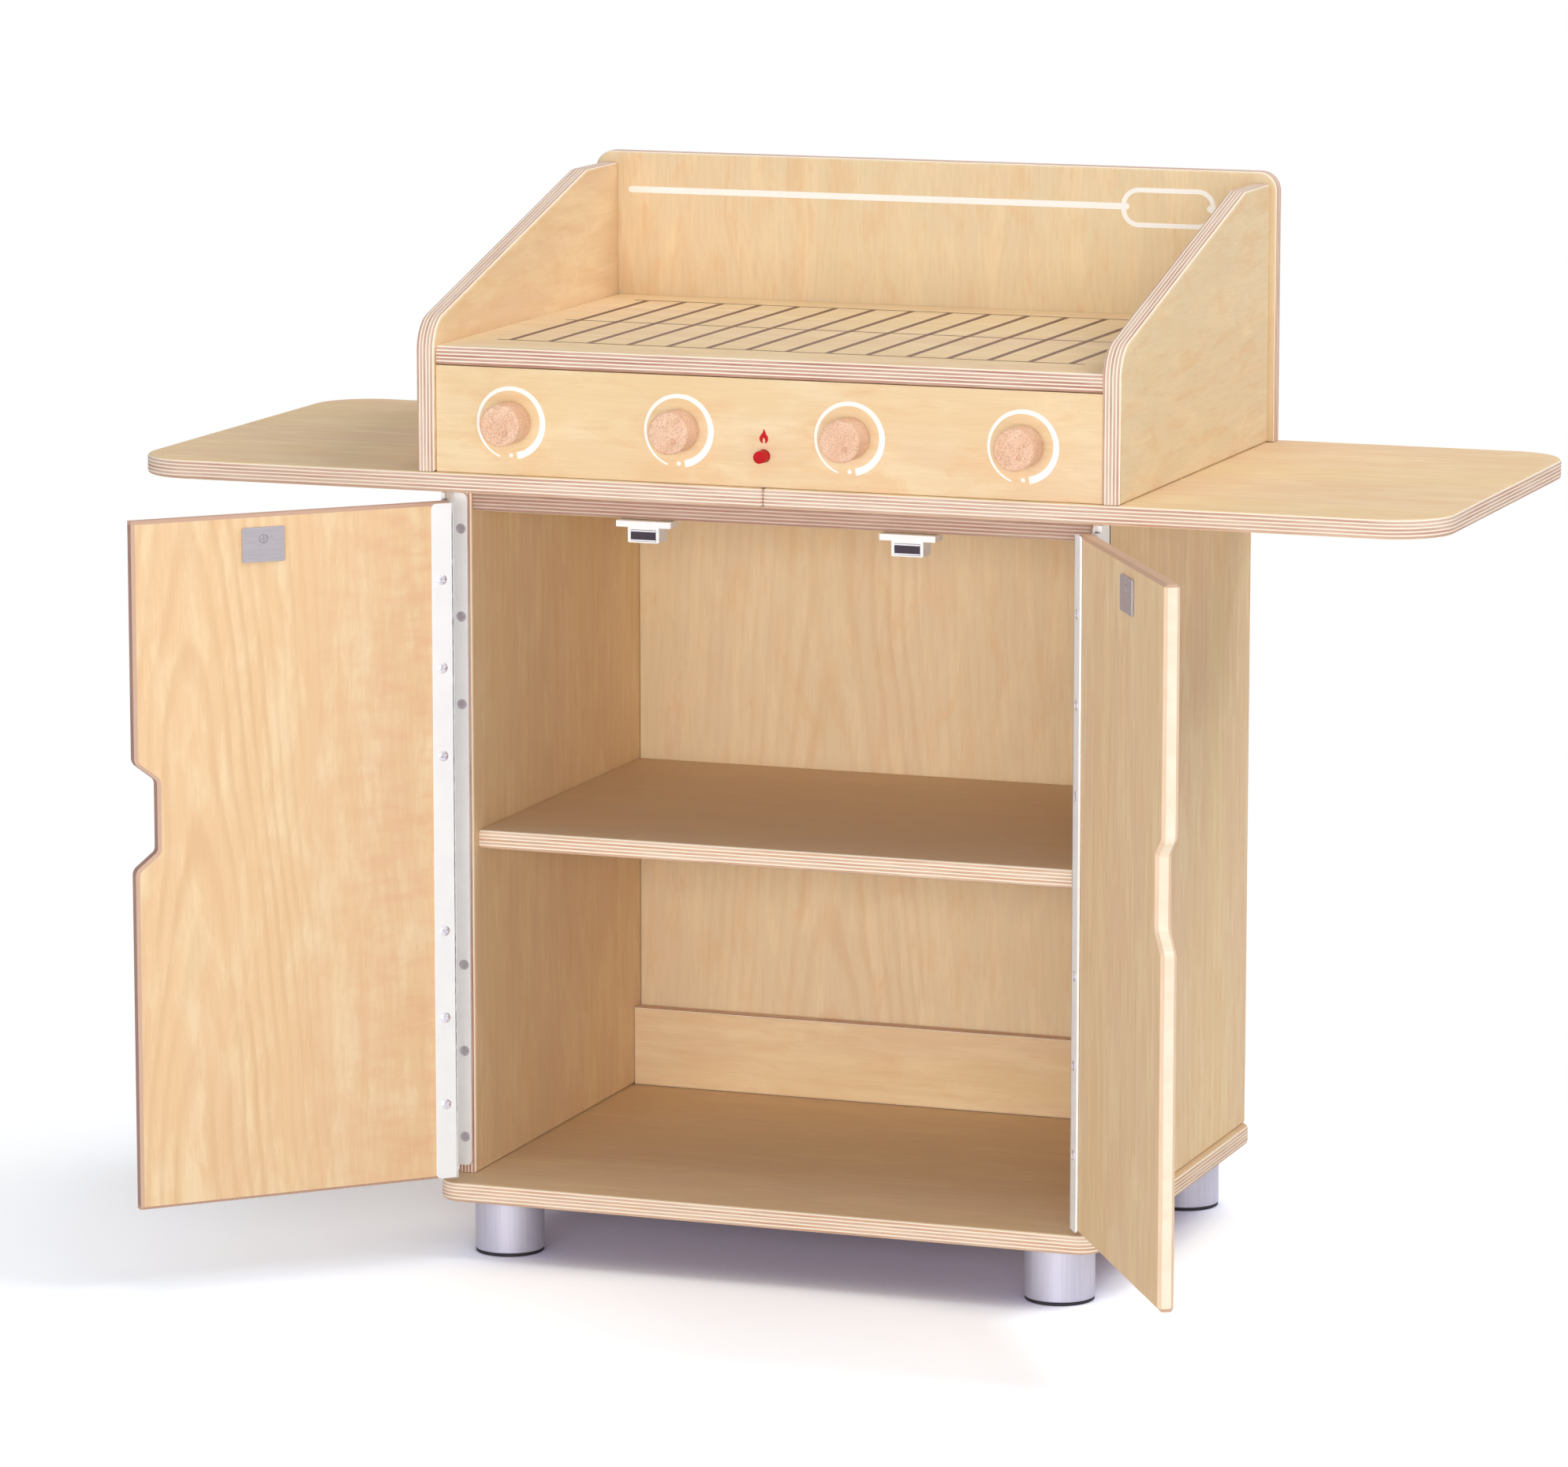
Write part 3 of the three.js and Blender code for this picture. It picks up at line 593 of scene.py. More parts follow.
def piece(name, parts, matrix, look, nodes=(), body="cabinet"):
    """Object from parts in its own axes, with a named look or a material of its own."""
    verts, faces = [], []
    for part_verts, part_faces in parts:
        start = len(verts)
        verts += part_verts
        faces += [tuple(index + start for index in face) for face in part_faces]
    mesh = bpy.data.meshes.new(name)
    mesh.from_pydata(verts, [], faces)
    work = bmesh.new()
    work.from_mesh(mesh)
    bmesh.ops.remove_doubles(work, verts=work.verts, dist=MERGE_DISTANCE)
    bmesh.ops.recalc_face_normals(work, faces=work.faces)
    for face in work.faces:
        face.smooth = True
    for edge in work.edges:
        edge.smooth = len(edge.link_faces) == 2 and edge.calc_face_angle() < SHARP_ANGLE
    work.to_mesh(mesh)
    work.free()
    mesh.materials.append(LOOKS[look] if isinstance(look, str) else look)
    made = in_scene(name, mesh)
    made.matrix_world = matrix
    weighted = made.modifiers.new("weighted_normals", "WEIGHTED_NORMAL")
    weighted.keep_sharp = True
    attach(made, body)
    if nodes:
        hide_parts(*nodes)


def in_scene(name, data):
    """Object of a mesh, lamp or camera."""
    made = bpy.data.objects.new(name, data)
    bpy.context.scene.collection.objects.link(made)
    return made


def middle_and_size(node, turn):
    """Middle of a node, and its size in the axes of a piece that is turned that way."""
    low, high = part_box(node)
    size = turn.inverted() @ (high - low)
    return (low + high) / 2, Vector(map(abs, size))


def turned_place(node, turn):
    """Place at a turned node's lower end with its axis along the turn's Z, and its radius and length."""
    middle, size = middle_and_size(node, turn)
    return at(*middle) @ turn @ at(0, 0, -size.z / 2), size.x / 2, size.z


def board(node, turn, grain, seed, radii=(0, 0, 0, 0), figure=PLAIN_FIGURE, look=PLAIN_LOOK,
          plies=PINK_EDGE, edge=EDGE_ROUND, outline=None, holes=()):
    """Plywood board in place of a CAD node."""
    middle, size = middle_and_size(node, turn)
    shape = outline(size) if outline else box_outline(size.x, size.y, radii)
    material = birch(f"birch_{node}", grain, size.z, seed, figure, look, plies)
    part = slab(shape, size.z, edge, EDGE_STEPS, holes)
    piece(f"board_{node}", [part], at(*middle) @ turn, material, [node])


# Sizes of the outlines that the boards' boxes don't give
BASE_RADIUS = 19 * MM
WING_RADIUS = 47 * MM
SEAM_RADIUS = 3.2 * MM
BACK_RADIUS = 15 * MM
GRILL_FOOT_HEIGHT = 113.2 * MM
GRILL_HEAD_RUN = 66.3 * MM
GRILL_FOOT_RADIUS = 28 * MM
GRILL_HEAD_RADIUS = 14 * MM
SPINDLE_HOLE = 3.35 * MM
BUTTON_HOLE = 5.05 * MM


def grill_side_outline(size):
    """Side of the grill box, from its front foot round to its sloping top."""
    x, y = size.x / 2, size.y / 2
    return rounded([
        (-x, -y), (x, -y), (x, y),
        (x - GRILL_HEAD_RUN, y, GRILL_HEAD_RADIUS), (-x, GRILL_FOOT_HEIGHT - y, GRILL_FOOT_RADIUS),
    ])


def build_boards():
    """Every plywood board of the cabinet, counter and grill box."""
    wing, seam, back = WING_RADIUS, SEAM_RADIUS, BACK_RADIUS
    # The base's and shelf's looks carry painted shade in their darker tone
    board("base_board", FLAT, "x", 1.3, (BASE_RADIUS,) * 4, look=BASE_LOOK, plies=ORANGE_EDGE)
    board("counter_left", FLAT, "x", 8.9, (wing, seam, seam, wing), plies=PALE_EDGE)
    board("counter_right", FLAT, "x", 15.2, (seam, wing, wing, seam), plies=PALE_EDGE)
    board("middle_shelf", FLAT, "x", 22.7, look=SHELF_LOOK, plies=ORANGE_EDGE)
    # The top panel's edge lies under the counter, and gets painted shade
    board("cabinet_top_panel", FLAT, "x", 29.1, plies=PAINTED_SHADE_EDGE, look=QUIET_LOOK)
    board("grill_deck", FLAT, "x", 34.4, look=QUIET_LOOK)
    board("cabinet_side_left", SIDE, "y", 41.8, look=QUIET_LOOK)
    board("cabinet_side_right", SIDE, "y", 48.3)
    board("cabinet_back_panel", FRONT, "y", 55.6, look=BACK_LOOK, figure=BACK_FIGURE)
    board("back_rail", FRONT, "x", 61.2)
    sloped = {"outline": grill_side_outline, "figure": GRILL_SIDE_FIGURE, "plies": PALE_EDGE}
    board("grill_side_left", SIDE, "x", 68.5, **sloped)
    board("grill_side_right", SIDE, "x", 75.9, look=GRILL_LOOK, **sloped)
    board("grill_back_panel", FRONT, "y", 82.4, (0, 0, back, back), GRILL_BACK_FIGURE, GRILL_LOOK)
    middle, _ = middle_and_size("control_panel", FRONT)
    holes = []
    for node, radius in {**dict.fromkeys(KNOBS, SPINDLE_HOLE), "igniter_button": BUTTON_HOLE}.items():
        x, z = axis_place(node)
        holes.append(circle(x - middle.x, z - middle.z, radius))
    board("control_panel", FRONT, "x", 89.7, figure=PANEL_FIGURE, look=PANEL_LOOK, edge=0.0, holes=holes)


def axis_place(node):
    """X and z of the axis of a knob or of the button."""
    low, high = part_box(node)
    return (low.x + high.x) / 2, (low.z + high.z) / 2


# Doors, in the hinge's own axes: p runs inward from the pin and q back, on a closed door
DOOR_END = 2.3 * MM
DOOR_FREE = 259.7 * MM
DOOR_FOOT = 65.2 * MM
DOOR_HEAD = 592.7 * MM
DOOR_OUTER = 3.6 * MM
DOOR_THICKNESS = 12 * MM
NOTCH_MIDDLE = 367.65 * MM
NOTCH_MOUTH = 82 * MM
NOTCH_FLOOR = 54 * MM
NOTCH_DEPTH = 18 * MM
NOTCH_MOUTH_RADIUS = 8 * MM
NOTCH_FLOOR_RADIUS = 6 * MM
DOOR_ARCH_INSET = 46 * MM


def hinge_matrix(side, sign, swinging):
    """Axes at a hinge's pin: X is p on the left and -p on the right, Y is q and Z is the height."""
    joint = JOINTS[f"{side}_door_hinge"]
    x, y, _ = joint["pos_m"]
    angle = math.radians(-joint["range_deg"][0]) if swinging else 0.0
    return at(x, y, 0) @ Matrix.Rotation(sign * angle, 4, "Z")


def door_outline():
    """Door with the finger notch in its free edge, as p and height."""
    floor = DOOR_FREE - NOTCH_DEPTH
    mouth, deep = NOTCH_MOUTH / 2, NOTCH_FLOOR / 2
    return rounded([
        (DOOR_END, DOOR_FOOT), (DOOR_FREE, DOOR_FOOT),
        (DOOR_FREE, NOTCH_MIDDLE - mouth, NOTCH_MOUTH_RADIUS),
        (floor, NOTCH_MIDDLE - deep, NOTCH_FLOOR_RADIUS),
        (floor, NOTCH_MIDDLE + deep, NOTCH_FLOOR_RADIUS),
        (DOOR_FREE, NOTCH_MIDDLE + mouth, NOTCH_MOUTH_RADIUS),
        (DOOR_FREE, DOOR_HEAD), (DOOR_END, DOOR_HEAD),
    ])


def build_door(side, sign, seed):
    """Door with chamfered edges; the left door's grain arches about an axis near its free edge, and the right
    door's flows along it.
    """
    middle = Vector(((DOOR_END + DOOR_FREE) / 2, (DOOR_FOOT + DOOR_HEAD) / 2))
    outline = [point - middle for point in door_outline()]
    turn = axes((-sign, 0, 0), (0, 0, 1), (0, sign, 0))
    place = at(-sign * middle.x, DOOR_OUTER + DOOR_THICKNESS / 2, middle.y)
    axis = sign * (middle.x + DOOR_ARCH_INSET - DOOR_FREE)
    if side == "left":
        figure, look = arched_figure(axis, *LEFT_DOOR_ARCHES), {**LEFT_DOOR_LOOK, "axis": axis}
    else:
        figure, look = RIGHT_DOOR_FIGURE, RIGHT_DOOR_LOOK
    material = door_birch(f"birch_door_{side}", DOOR_HEAD - DOOR_FOOT, seed, figure, look, DOOR_EDGES_WITH_PAINTED_SHADE[side])
    part = slab(outline, DOOR_THICKNESS, DOOR_CHAMFER, 1)
    matrix = hinge_matrix(side, sign, True) @ place @ turn
    piece(f"door_board_{side}", [part], matrix, material, [f"door_{side}"], f"{side}_door")


# Hinges
KNUCKLE_RADIUS = 3.2 * MM
KNUCKLE_COUNT = 5
KNUCKLE_GAP = 0.5 * MM
KNUCKLE_ROOM = 3.6 * MM
KNUCKLE_RIM = (0.4 * MM, 3)
KNUCKLE_SIDES = 32
LEAF_HEAD = 592.2 * MM
FLANGE_FOOT = 74.2 * MM
LEAF_CORNER = 4.2 * MM
LEAF_EDGE = (0.35 * MM, 3)
SCREW_PITCH = 68.2 * MM
SCREW_RADIUS = 3.9 * MM
SCREW_HOLE = 3.95 * MM
SCREW_SEAT = 1.2 * MM
SCREW_SPIN = 1.9
SCREW_RINGS = 12
SCREW_SIDES = 64
RECESS_DEPTH = 0.8 * MM
SCREW_DOME = 1.2 * MM
SCREW_FLUSH = 0.25 * MM

# Cross recess as shares of a screw's radius, its rise towards the arms' ends and the dome's fall
RECESS_ARM = 0.66
RECESS_SLOT = 0.13
RECESS_TAPER = 0.075
RECESS_RISE = 0.6
DOME_FALL = 0.93

# Leaves of a hinge; face ends lower on the fixed one, and its screws are half a pitch off
FLANGE = {
    "first": 0, "wall": (-3.2 * MM, -0.3 * MM), "face": (-3.2 * MM, 10.0 * MM), "back": 22.1 * MM,
    "thickness": 2.9 * MM, "ends": (FLANGE_FOOT, 597.7 * MM), "lower": (6.6 * MM, 2.2 * MM),
    "screws": (4.85 * MM, (-3.5, -2.5, -1.5, 1.5, 2.5, 3.5)),
}
LEAF = {
    "first": 1, "wall": (0.6 * MM, 2.0 * MM), "face": (0.6 * MM, 18.3 * MM), "back": 17.7 * MM,
    "thickness": 1.8 * MM, "ends": (65.7 * MM, LEAF_HEAD), "screws": (10.3 * MM, (-3, -2, -1, 1, 2, 3)),
}
DOOR_MIDDLE = (DOOR_FOOT + DOOR_HEAD) / 2


def knuckle_heights(first):
    """Foot and head of every second knuckle."""
    pitch = (LEAF_HEAD - FLANGE_FOOT + KNUCKLE_GAP) / KNUCKLE_COUNT
    feet = [FLANGE_FOOT + index * pitch for index in range(first, KNUCKLE_COUNT, 2)]
    return [(foot, foot + pitch - KNUCKLE_GAP) for foot in feet]


def wall_outline(first, back, foot, head):
    """Wall of a leaf as q and height, cut away round the other leaf's knuckles."""
    notches = [
        (max(low - KNUCKLE_GAP, foot), min(high + KNUCKLE_GAP, head))
        for low, high in knuckle_heights(1 - first)
    ]
    heights = [head, *(height for low, high in reversed(notches) for height in (high, low)), foot]
    corners = [(back, foot), (back, head)]
    for index, (high, low) in enumerate(zip(heights, heights[1:])):
        if high > low:
            depth = KNUCKLE_ROOM if index % 2 else 0.0
            corners += [(depth, high), (depth, low)]
    return [Vector(corner) for corner in corners]


def leaf_parts(sign, first, wall, face, back, thickness, ends, screws, lower=(0.0, 0.0)):
    """Angle of a hinge leaf: a wall along q from the pin, a face along p, and the leaf's own knuckles."""
    low, high = wall
    parts = [moved(slab(wall_outline(first, back, *ends), high - low), at((low + high) / 2, 0, 0) @ SIDE)]
    fold, edge = face
    foot, head = (end - drop for end, drop in zip(ends, lower))
    outline = rounded([(fold, foot), (edge, foot, LEAF_CORNER), (edge, head, LEAF_CORNER), (fold, head)])
    p, shares = screws
    holes = [circle(p, DOOR_MIDDLE + share * SCREW_PITCH, SCREW_HOLE) for share in shares]
    plate = slab(outline, thickness, *LEAF_EDGE, holes)
    parts.append(moved(plate, at(0, back - thickness / 2, 0) @ FRONT))
    for foot, head in knuckle_heights(first):
        knuckle = round_bar(KNUCKLE_RADIUS, head - foot, KNUCKLE_RIM, KNUCKLE_RIM, KNUCKLE_SIDES)
        parts.append(moved(knuckle, at(0, 0, foot)))
    return [moved(part, Matrix.Diagonal((-sign, 1, 1, 1))) for part in parts]


def cross_screw(radius, dome):
    """Screw head with a domed top and a cross recess, its axis along Z and the leaf's face at z 0."""
    arm, slot = RECESS_ARM * radius, RECESS_SLOT * radius
    verts = [(0.0, 0.0, dome - RECESS_DEPTH)]
    for ring in range(1, SCREW_RINGS + 1):
        reach = radius * ring / SCREW_RINGS
        height = dome * math.sqrt(1 - (ring / SCREW_RINGS) ** 2 * DOME_FALL)
        for x, y in circle(0, 0, reach, SCREW_SIDES):
            across, reached = sorted((abs(x), abs(y)))
            inside = across < slot + (arm - reached) * RECESS_TAPER and reached < arm
            drop = RECESS_DEPTH * (1 - reached / arm * RECESS_RISE) if inside else 0.0
            verts.append((x, y, height - drop))
    foot = len(verts)
    rim = foot - SCREW_SIDES
    verts += [(x, y, -SCREW_SEAT) for x, y, _ in verts[rim:]]
    faces = fan(1, 0, SCREW_SIDES)
    for low in range(1, rim, SCREW_SIDES):
        faces += band(low, low + SCREW_SIDES, SCREW_SIDES)
    faces += band(rim, foot, SCREW_SIDES)
    faces.append(tuple(range(foot, len(verts))))
    return verts, faces


def screw_row(sign, leaf, towards, depth, dome):
    """Screws up a leaf; towards is 1 where their heads look along q and -1 where they look back."""
    turn = axes((1, 0, 0), (0, 0, -towards), (0, towards, 0))
    p, shares = leaf["screws"]
    parts = []
    for share in shares:
        spin = Matrix.Rotation(share * SCREW_SPIN, 4, "Z")
        place = at(-sign * p, leaf["back"] - depth, DOOR_MIDDLE + share * SCREW_PITCH)
        parts.append(moved(cross_screw(SCREW_RADIUS, dome), place @ turn @ spin))
    return parts


def build_hinge(side, sign):
    """Fixed and swinging leaf of one door's hinge, with their screws."""
    door = f"{side}_door"
    fixed, swing = hinge_matrix(side, sign, False), hinge_matrix(side, sign, True)
    piece(f"flange_{side}", leaf_parts(sign, **FLANGE), fixed, "hinge",
          [f"hinge_flange_{side}"])
    piece(f"leaf_{side}", leaf_parts(sign, **LEAF), swing, "hinge",
          [f"hinge_leaf_{side}"], door)
    flush = screw_row(sign, FLANGE, -1, FLANGE["thickness"], SCREW_FLUSH)
    piece(f"flange_screws_{side}", flush, fixed, "screw_steel")
    domed = screw_row(sign, LEAF, 1, 0.0, SCREW_DOME)
    piece(f"leaf_screws_{side}", domed, swing, "bright_steel", body=door)


# Strike plate on each door
PLATE_MIDDLE = (155.2 * MM, 569.6 * MM)
PLATE_BACK = 15.9 * MM
PLATE_THICKNESS = 1.6 * MM
PLATE_SIZE = (34 * MM, 26.5 * MM)
PLATE_RADIUS = 1.2 * MM
PLATE_EDGE = (0.3 * MM, 2)
PLATE_SCREW_RISE = 4.5 * MM
PLATE_SCREW_RADIUS = 3 * MM
PLATE_HOLE_RADIUS = 3.35 * MM
PIP_OFFSET = 10 * MM
PIP_PROFILE = ((0, 0), (0.8 * MM, 0), (0.56 * MM, 0.2 * MM), (0, 0.25 * MM))
PIP_SIDES = 20


def build_plate(side, sign):
    """Steel strike plate with its screw and two small pips."""
    x, z = PLATE_MIDDLE
    turn = axes((1, 0, 0), (0, 0, -1), (0, 1, 0))
    front = PLATE_BACK + PLATE_THICKNESS
    outline = box_outline(*PLATE_SIZE, (PLATE_RADIUS,) * 4)
    hole = circle(0, -PLATE_SCREW_RISE, PLATE_HOLE_RADIUS)
    plate = moved(slab(outline, PLATE_THICKNESS, *PLATE_EDGE, [hole]),
                  at(-sign * x, PLATE_BACK + PLATE_THICKNESS / 2, z) @ turn)
    swing = hinge_matrix(side, sign, True)
    body = f"{side}_door"
    piece(f"plate_{side}", [plate], swing, "plate", [f"strike_plate_{side}"], body)
    screw_place = at(-sign * x, front, z + PLATE_SCREW_RISE)
    parts = [moved(cross_screw(PLATE_SCREW_RADIUS, SCREW_FLUSH), screw_place @ turn)]
    for offset in (-PIP_OFFSET, PIP_OFFSET):
        pip_place = at(-sign * x + offset, front, z + PLATE_SCREW_RISE)
        parts.append(moved(lathe(PIP_PROFILE, PIP_SIDES), pip_place @ turn))
    piece(f"plate_screw_{side}", parts, swing, "plate", body=body)


# Catches, with the radii of the housing's corners
CATCH_FLANGE = 5 * MM
CATCH_BODY = 25.4 * MM
CATCH_FOOT, CATCH_NECK, CATCH_WING, CATCH_HEAD = 1.2 * MM, 0.4 * MM, 0.8 * MM, 0.5 * MM
CATCH_EDGE = (0.4 * MM, 3)
WINDOW_GAP = 0.3 * MM
BAR_EDGE = (0.2 * MM, 2)


def build_catch(side):
    """Magnetic catch: a T-shaped housing, and a magnet between two pole plates in its window."""
    middle, size = middle_and_size(f"catch_housing_{side}", FRONT)
    x, y, body, step = size.x / 2, size.y / 2, CATCH_BODY / 2, size.y / 2 - CATCH_FLANGE
    outline = rounded([
        (-body, -y, CATCH_FOOT), (body, -y, CATCH_FOOT), (body, step, CATCH_NECK),
        (x, step, CATCH_WING), (x, y, CATCH_HEAD), (-x, y, CATCH_HEAD),
        (-x, step, CATCH_WING), (-body, step, CATCH_NECK),
    ])
    lower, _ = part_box(f"pole_plate_lower_{side}")
    _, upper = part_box(f"pole_plate_upper_{side}")
    left, right = lower.x - WINDOW_GAP - middle.x, upper.x + WINDOW_GAP - middle.x
    foot, head = lower.z - WINDOW_GAP - middle.z, upper.z + WINDOW_GAP - middle.z
    window = [Vector(place) for place in ((left, foot), (right, foot), (right, head), (left, head))]
    housing = slab(outline, size.z, *CATCH_EDGE, [window])
    piece(f"catch_{side}", [housing], at(*middle) @ FRONT, "plastic",
          [f"catch_housing_{side}"])
    for node, look, slot in (
        ("catch_magnet", "magnet", "magnet"), ("pole_plate_lower", "pole", "steel"),
        ("pole_plate_upper", "pole", "steel"),
    ):
        middle, size = middle_and_size(f"{node}_{side}", FRONT)
        bar = slab(box_outline(size.x, size.y), size.z, *BAR_EDGE)
        piece(f"{node}_bar_{side}", [bar], at(*middle) @ FRONT, look, [f"{node}_{side}"])


# Knobs
KNOB_RIM = (2.4 * MM, 8)
KNOB_BREAK = 0.3 * MM
DIMPLE_RADIUS = 3.0 * MM
DIMPLE_DEPTH = 1.2 * MM
DIMPLE_X, DIMPLE_Y = 4.7 * MM, -5.4 * MM
DIMPLE_STEPS = 5
DIMPLE_SIDES = 32
BORE_RADIUS = 3.3 * MM
BORE_DEPTH = 15.3 * MM


def dimple(length, start):
    """Hollow in a face at that height; its points count on from start."""
    flat = DIMPLE_RADIUS - DIMPLE_DEPTH
    reach = math.sqrt(DIMPLE_RADIUS ** 2 - flat ** 2)
    verts, faces = [], []
    for step in range(DIMPLE_STEPS):
        radius = reach * (1 - step / DIMPLE_STEPS)
        height = length + flat - math.sqrt(DIMPLE_RADIUS ** 2 - radius ** 2)
        verts += [(*point, height) for point in circle(DIMPLE_X, DIMPLE_Y, radius, DIMPLE_SIDES)]
    tip = start + len(verts)
    last = tip - DIMPLE_SIDES
    verts.append((DIMPLE_X, DIMPLE_Y, length - DIMPLE_DEPTH))
    for low in range(start, last, DIMPLE_SIDES):
        faces += band(low, low + DIMPLE_SIDES, DIMPLE_SIDES)
    return verts, faces + fan(last, tip, DIMPLE_SIDES)


def knob_part(radius, length):
    """Turned knob along Z with its back at z 0: a bore behind, and a dimple in the flat face."""
    bore = [(0, BORE_DEPTH), (BORE_RADIUS, BORE_DEPTH), (BORE_RADIUS, 0)]
    side = [(radius - KNOB_BREAK, 0), (radius, KNOB_BREAK)]
    verts, faces = lathe([*bore, *side, *rim_profile(radius, length, *KNOB_RIM)])
    start = len(verts)
    hollow, hollow_faces = dimple(length, start)
    verts += hollow
    faces += filled(verts, [range(start - TURN_SIDES, start), range(start, start + DIMPLE_SIDES)])
    return verts, faces + hollow_faces


def build_knobs():
    """Four knobs on their spindles."""
    for number, (node, word) in enumerate(KNOBS.items(), 1):
        place, radius, length = turned_place(node, FRONT)
        piece(f"knob_head_{number}", [knob_part(radius, length)], place, f"beech_{number}",
              [node], f"{word}_knob")


# Igniter button, as radii and heights over the back end of its stem
STEM_RADIUS = 2.5 * MM
STEM_LENGTH = 20 * MM
COLLAR_RADIUS = 7 * MM
COLLAR_LENGTH = 2.5 * MM
BUTTON_RADIUS = 4.7 * MM
BUTTON_ROUND = 0.8 * MM
BUTTON_SIDES = 48


def build_button():
    place, _, length = turned_place("igniter_button", FRONT)
    collar = STEM_LENGTH + COLLAR_LENGTH
    part = lathe([
        (0, 0), (STEM_RADIUS, 0), (STEM_RADIUS, STEM_LENGTH), (COLLAR_RADIUS, STEM_LENGTH),
        (COLLAR_RADIUS, collar), (BUTTON_RADIUS, collar),
        *rim_profile(BUTTON_RADIUS, length, BUTTON_ROUND), (0, length),
    ], BUTTON_SIDES)
    piece("igniter_cap", [part], place, "red", ["igniter_button"], "igniter")


# Parts of a leg: node, piece, look, slot, and the radius and steps of its foot's and its head's rim
LEG_SIDES = 96
LEG_PARTS = (
    ("leg", "leg_tube", "leg", "leg_metal", (1 * MM, 5), (0.4 * MM, 3)),
    ("glide", "glide_disc", "rubber", "glide_black", (0.8 * MM, 4), (0.3 * MM, 3)),
)


def build_legs():
    """Metal legs, each on a black glide."""
    for corner in (f"{row}_{side}" for row in ("front", "back") for side, _ in SIDES):
        for node, name, look, slot, foot, head in LEG_PARTS:
            place, radius, length = turned_place(f"{node}_{corner}", FLAT)
            part = round_bar(radius, length, foot, head, LEG_SIDES)
            piece(f"{name}_{corner}", [part], place, look, [f"{node}_{corner}"])


# Dials printed round the knobs
DIAL_RADIUS = 28 * MM
DIAL_DROP = 0.4 * MM
DIAL_THIN = 1.2 * MM
DIAL_THICK = 5.5 * MM
DIAL_START = math.radians(-109)
DIAL_END = math.radians(-439)
DIAL_STEPS = 110
DIAL_DOT_DROP = 25.2 * MM
DIAL_DOT_RADIUS = 1.6 * MM

# Line and frame printed on the back panel
LINE_LEFT, LINE_RIGHT = -257.3 * MM, 165.8 * MM
LINE_HEIGHT = 796.3 * MM
LINE_WIDTH = 5 * MM
PILL_LEFT, PILL_RIGHT = 159.1 * MM, 236.5 * MM
PILL_FOOT, PILL_HEAD = 780.1 * MM, 811.4 * MM
PILL_STROKE = 3.7 * MM
PILL_PRINT = 0.2 * MM
NUB_LENGTH = 6.4 * MM
NUB_INSET = 0.6 * MM
LINE_ROUND = 0.49
PILL_ROUND = 0.46

# Grate printed on the deck
BAR_COUNT = 15
BAR_PITCH = 32.1 * MM
BAR_WIDTH = 4.8 * MM
CROSS_WIDTH = 2.2 * MM
GRATE_ROWS = (-42.2 * MM, 99.4 * MM, 248.5 * MM)
CROSS_OVERHANG = 11 * MM

# Flame printed above the button, as points from its foot in shares of its size
FLAME_SIZE = (7.0 * MM, 11.0 * MM)
FLAME_RISE = 9.6 * MM
FLAME_OUTER = ((-0.22, 0.0), (-0.46, 0.16), (-0.5, 0.36), (-0.36, 0.56), (-0.14, 0.72), (-0.06, 0.86),
               (-0.1, 1.0), (0.14, 0.86), (0.24, 0.68), (0.26, 0.54), (0.36, 0.6), (0.46, 0.42),
               (0.5, 0.28), (0.44, 0.12), (0.22, 0.0))
FLAME_INNER = ((0.08, 0.05), (0.17, 0.14), (0.14, 0.26), (0.03, 0.34), (-0.03, 0.42), (-0.1, 0.3),
               (-0.16, 0.16), (-0.08, 0.05))


# Prints
PRINT = 0.12 * MM


def print_part(outline, x, y, z, turn=FRONT, holes=(), thickness=PRINT):
    """Thin print whose back lies on a face at that place; turn's Z looks away from the face."""
    place = at(x, y, z) @ turn @ at(0, 0, thickness / 2)
    return moved(slab(outline, thickness, holes=holes), place)


def dial_outline():
    """Arc whose outer radius is steady while its width grows along the turn."""
    outer, inner = [], []
    for step in range(DIAL_STEPS + 1):
        share = step / DIAL_STEPS
        turn = DIAL_START + (DIAL_END - DIAL_START) * share
        width = DIAL_THIN + (DIAL_THICK - DIAL_THIN) * share
        direction = Vector((math.cos(turn), math.sin(turn)))
        outer.append(direction * DIAL_RADIUS)
        inner.append(direction * (DIAL_RADIUS - width))
    return inner + outer[::-1]


def print_dials():
    """White arc and dot round each knob."""
    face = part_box("control_panel")[0].y
    dials = []
    for x, z in map(axis_place, KNOBS):
        dials.append(print_part(dial_outline(), x, face, z - DIAL_DROP))
        dials.append(print_part(circle(0, 0, DIAL_DOT_RADIUS), x, face, z - DIAL_DOT_DROP))
    piece("print_dials", dials, FLAT, "paint")


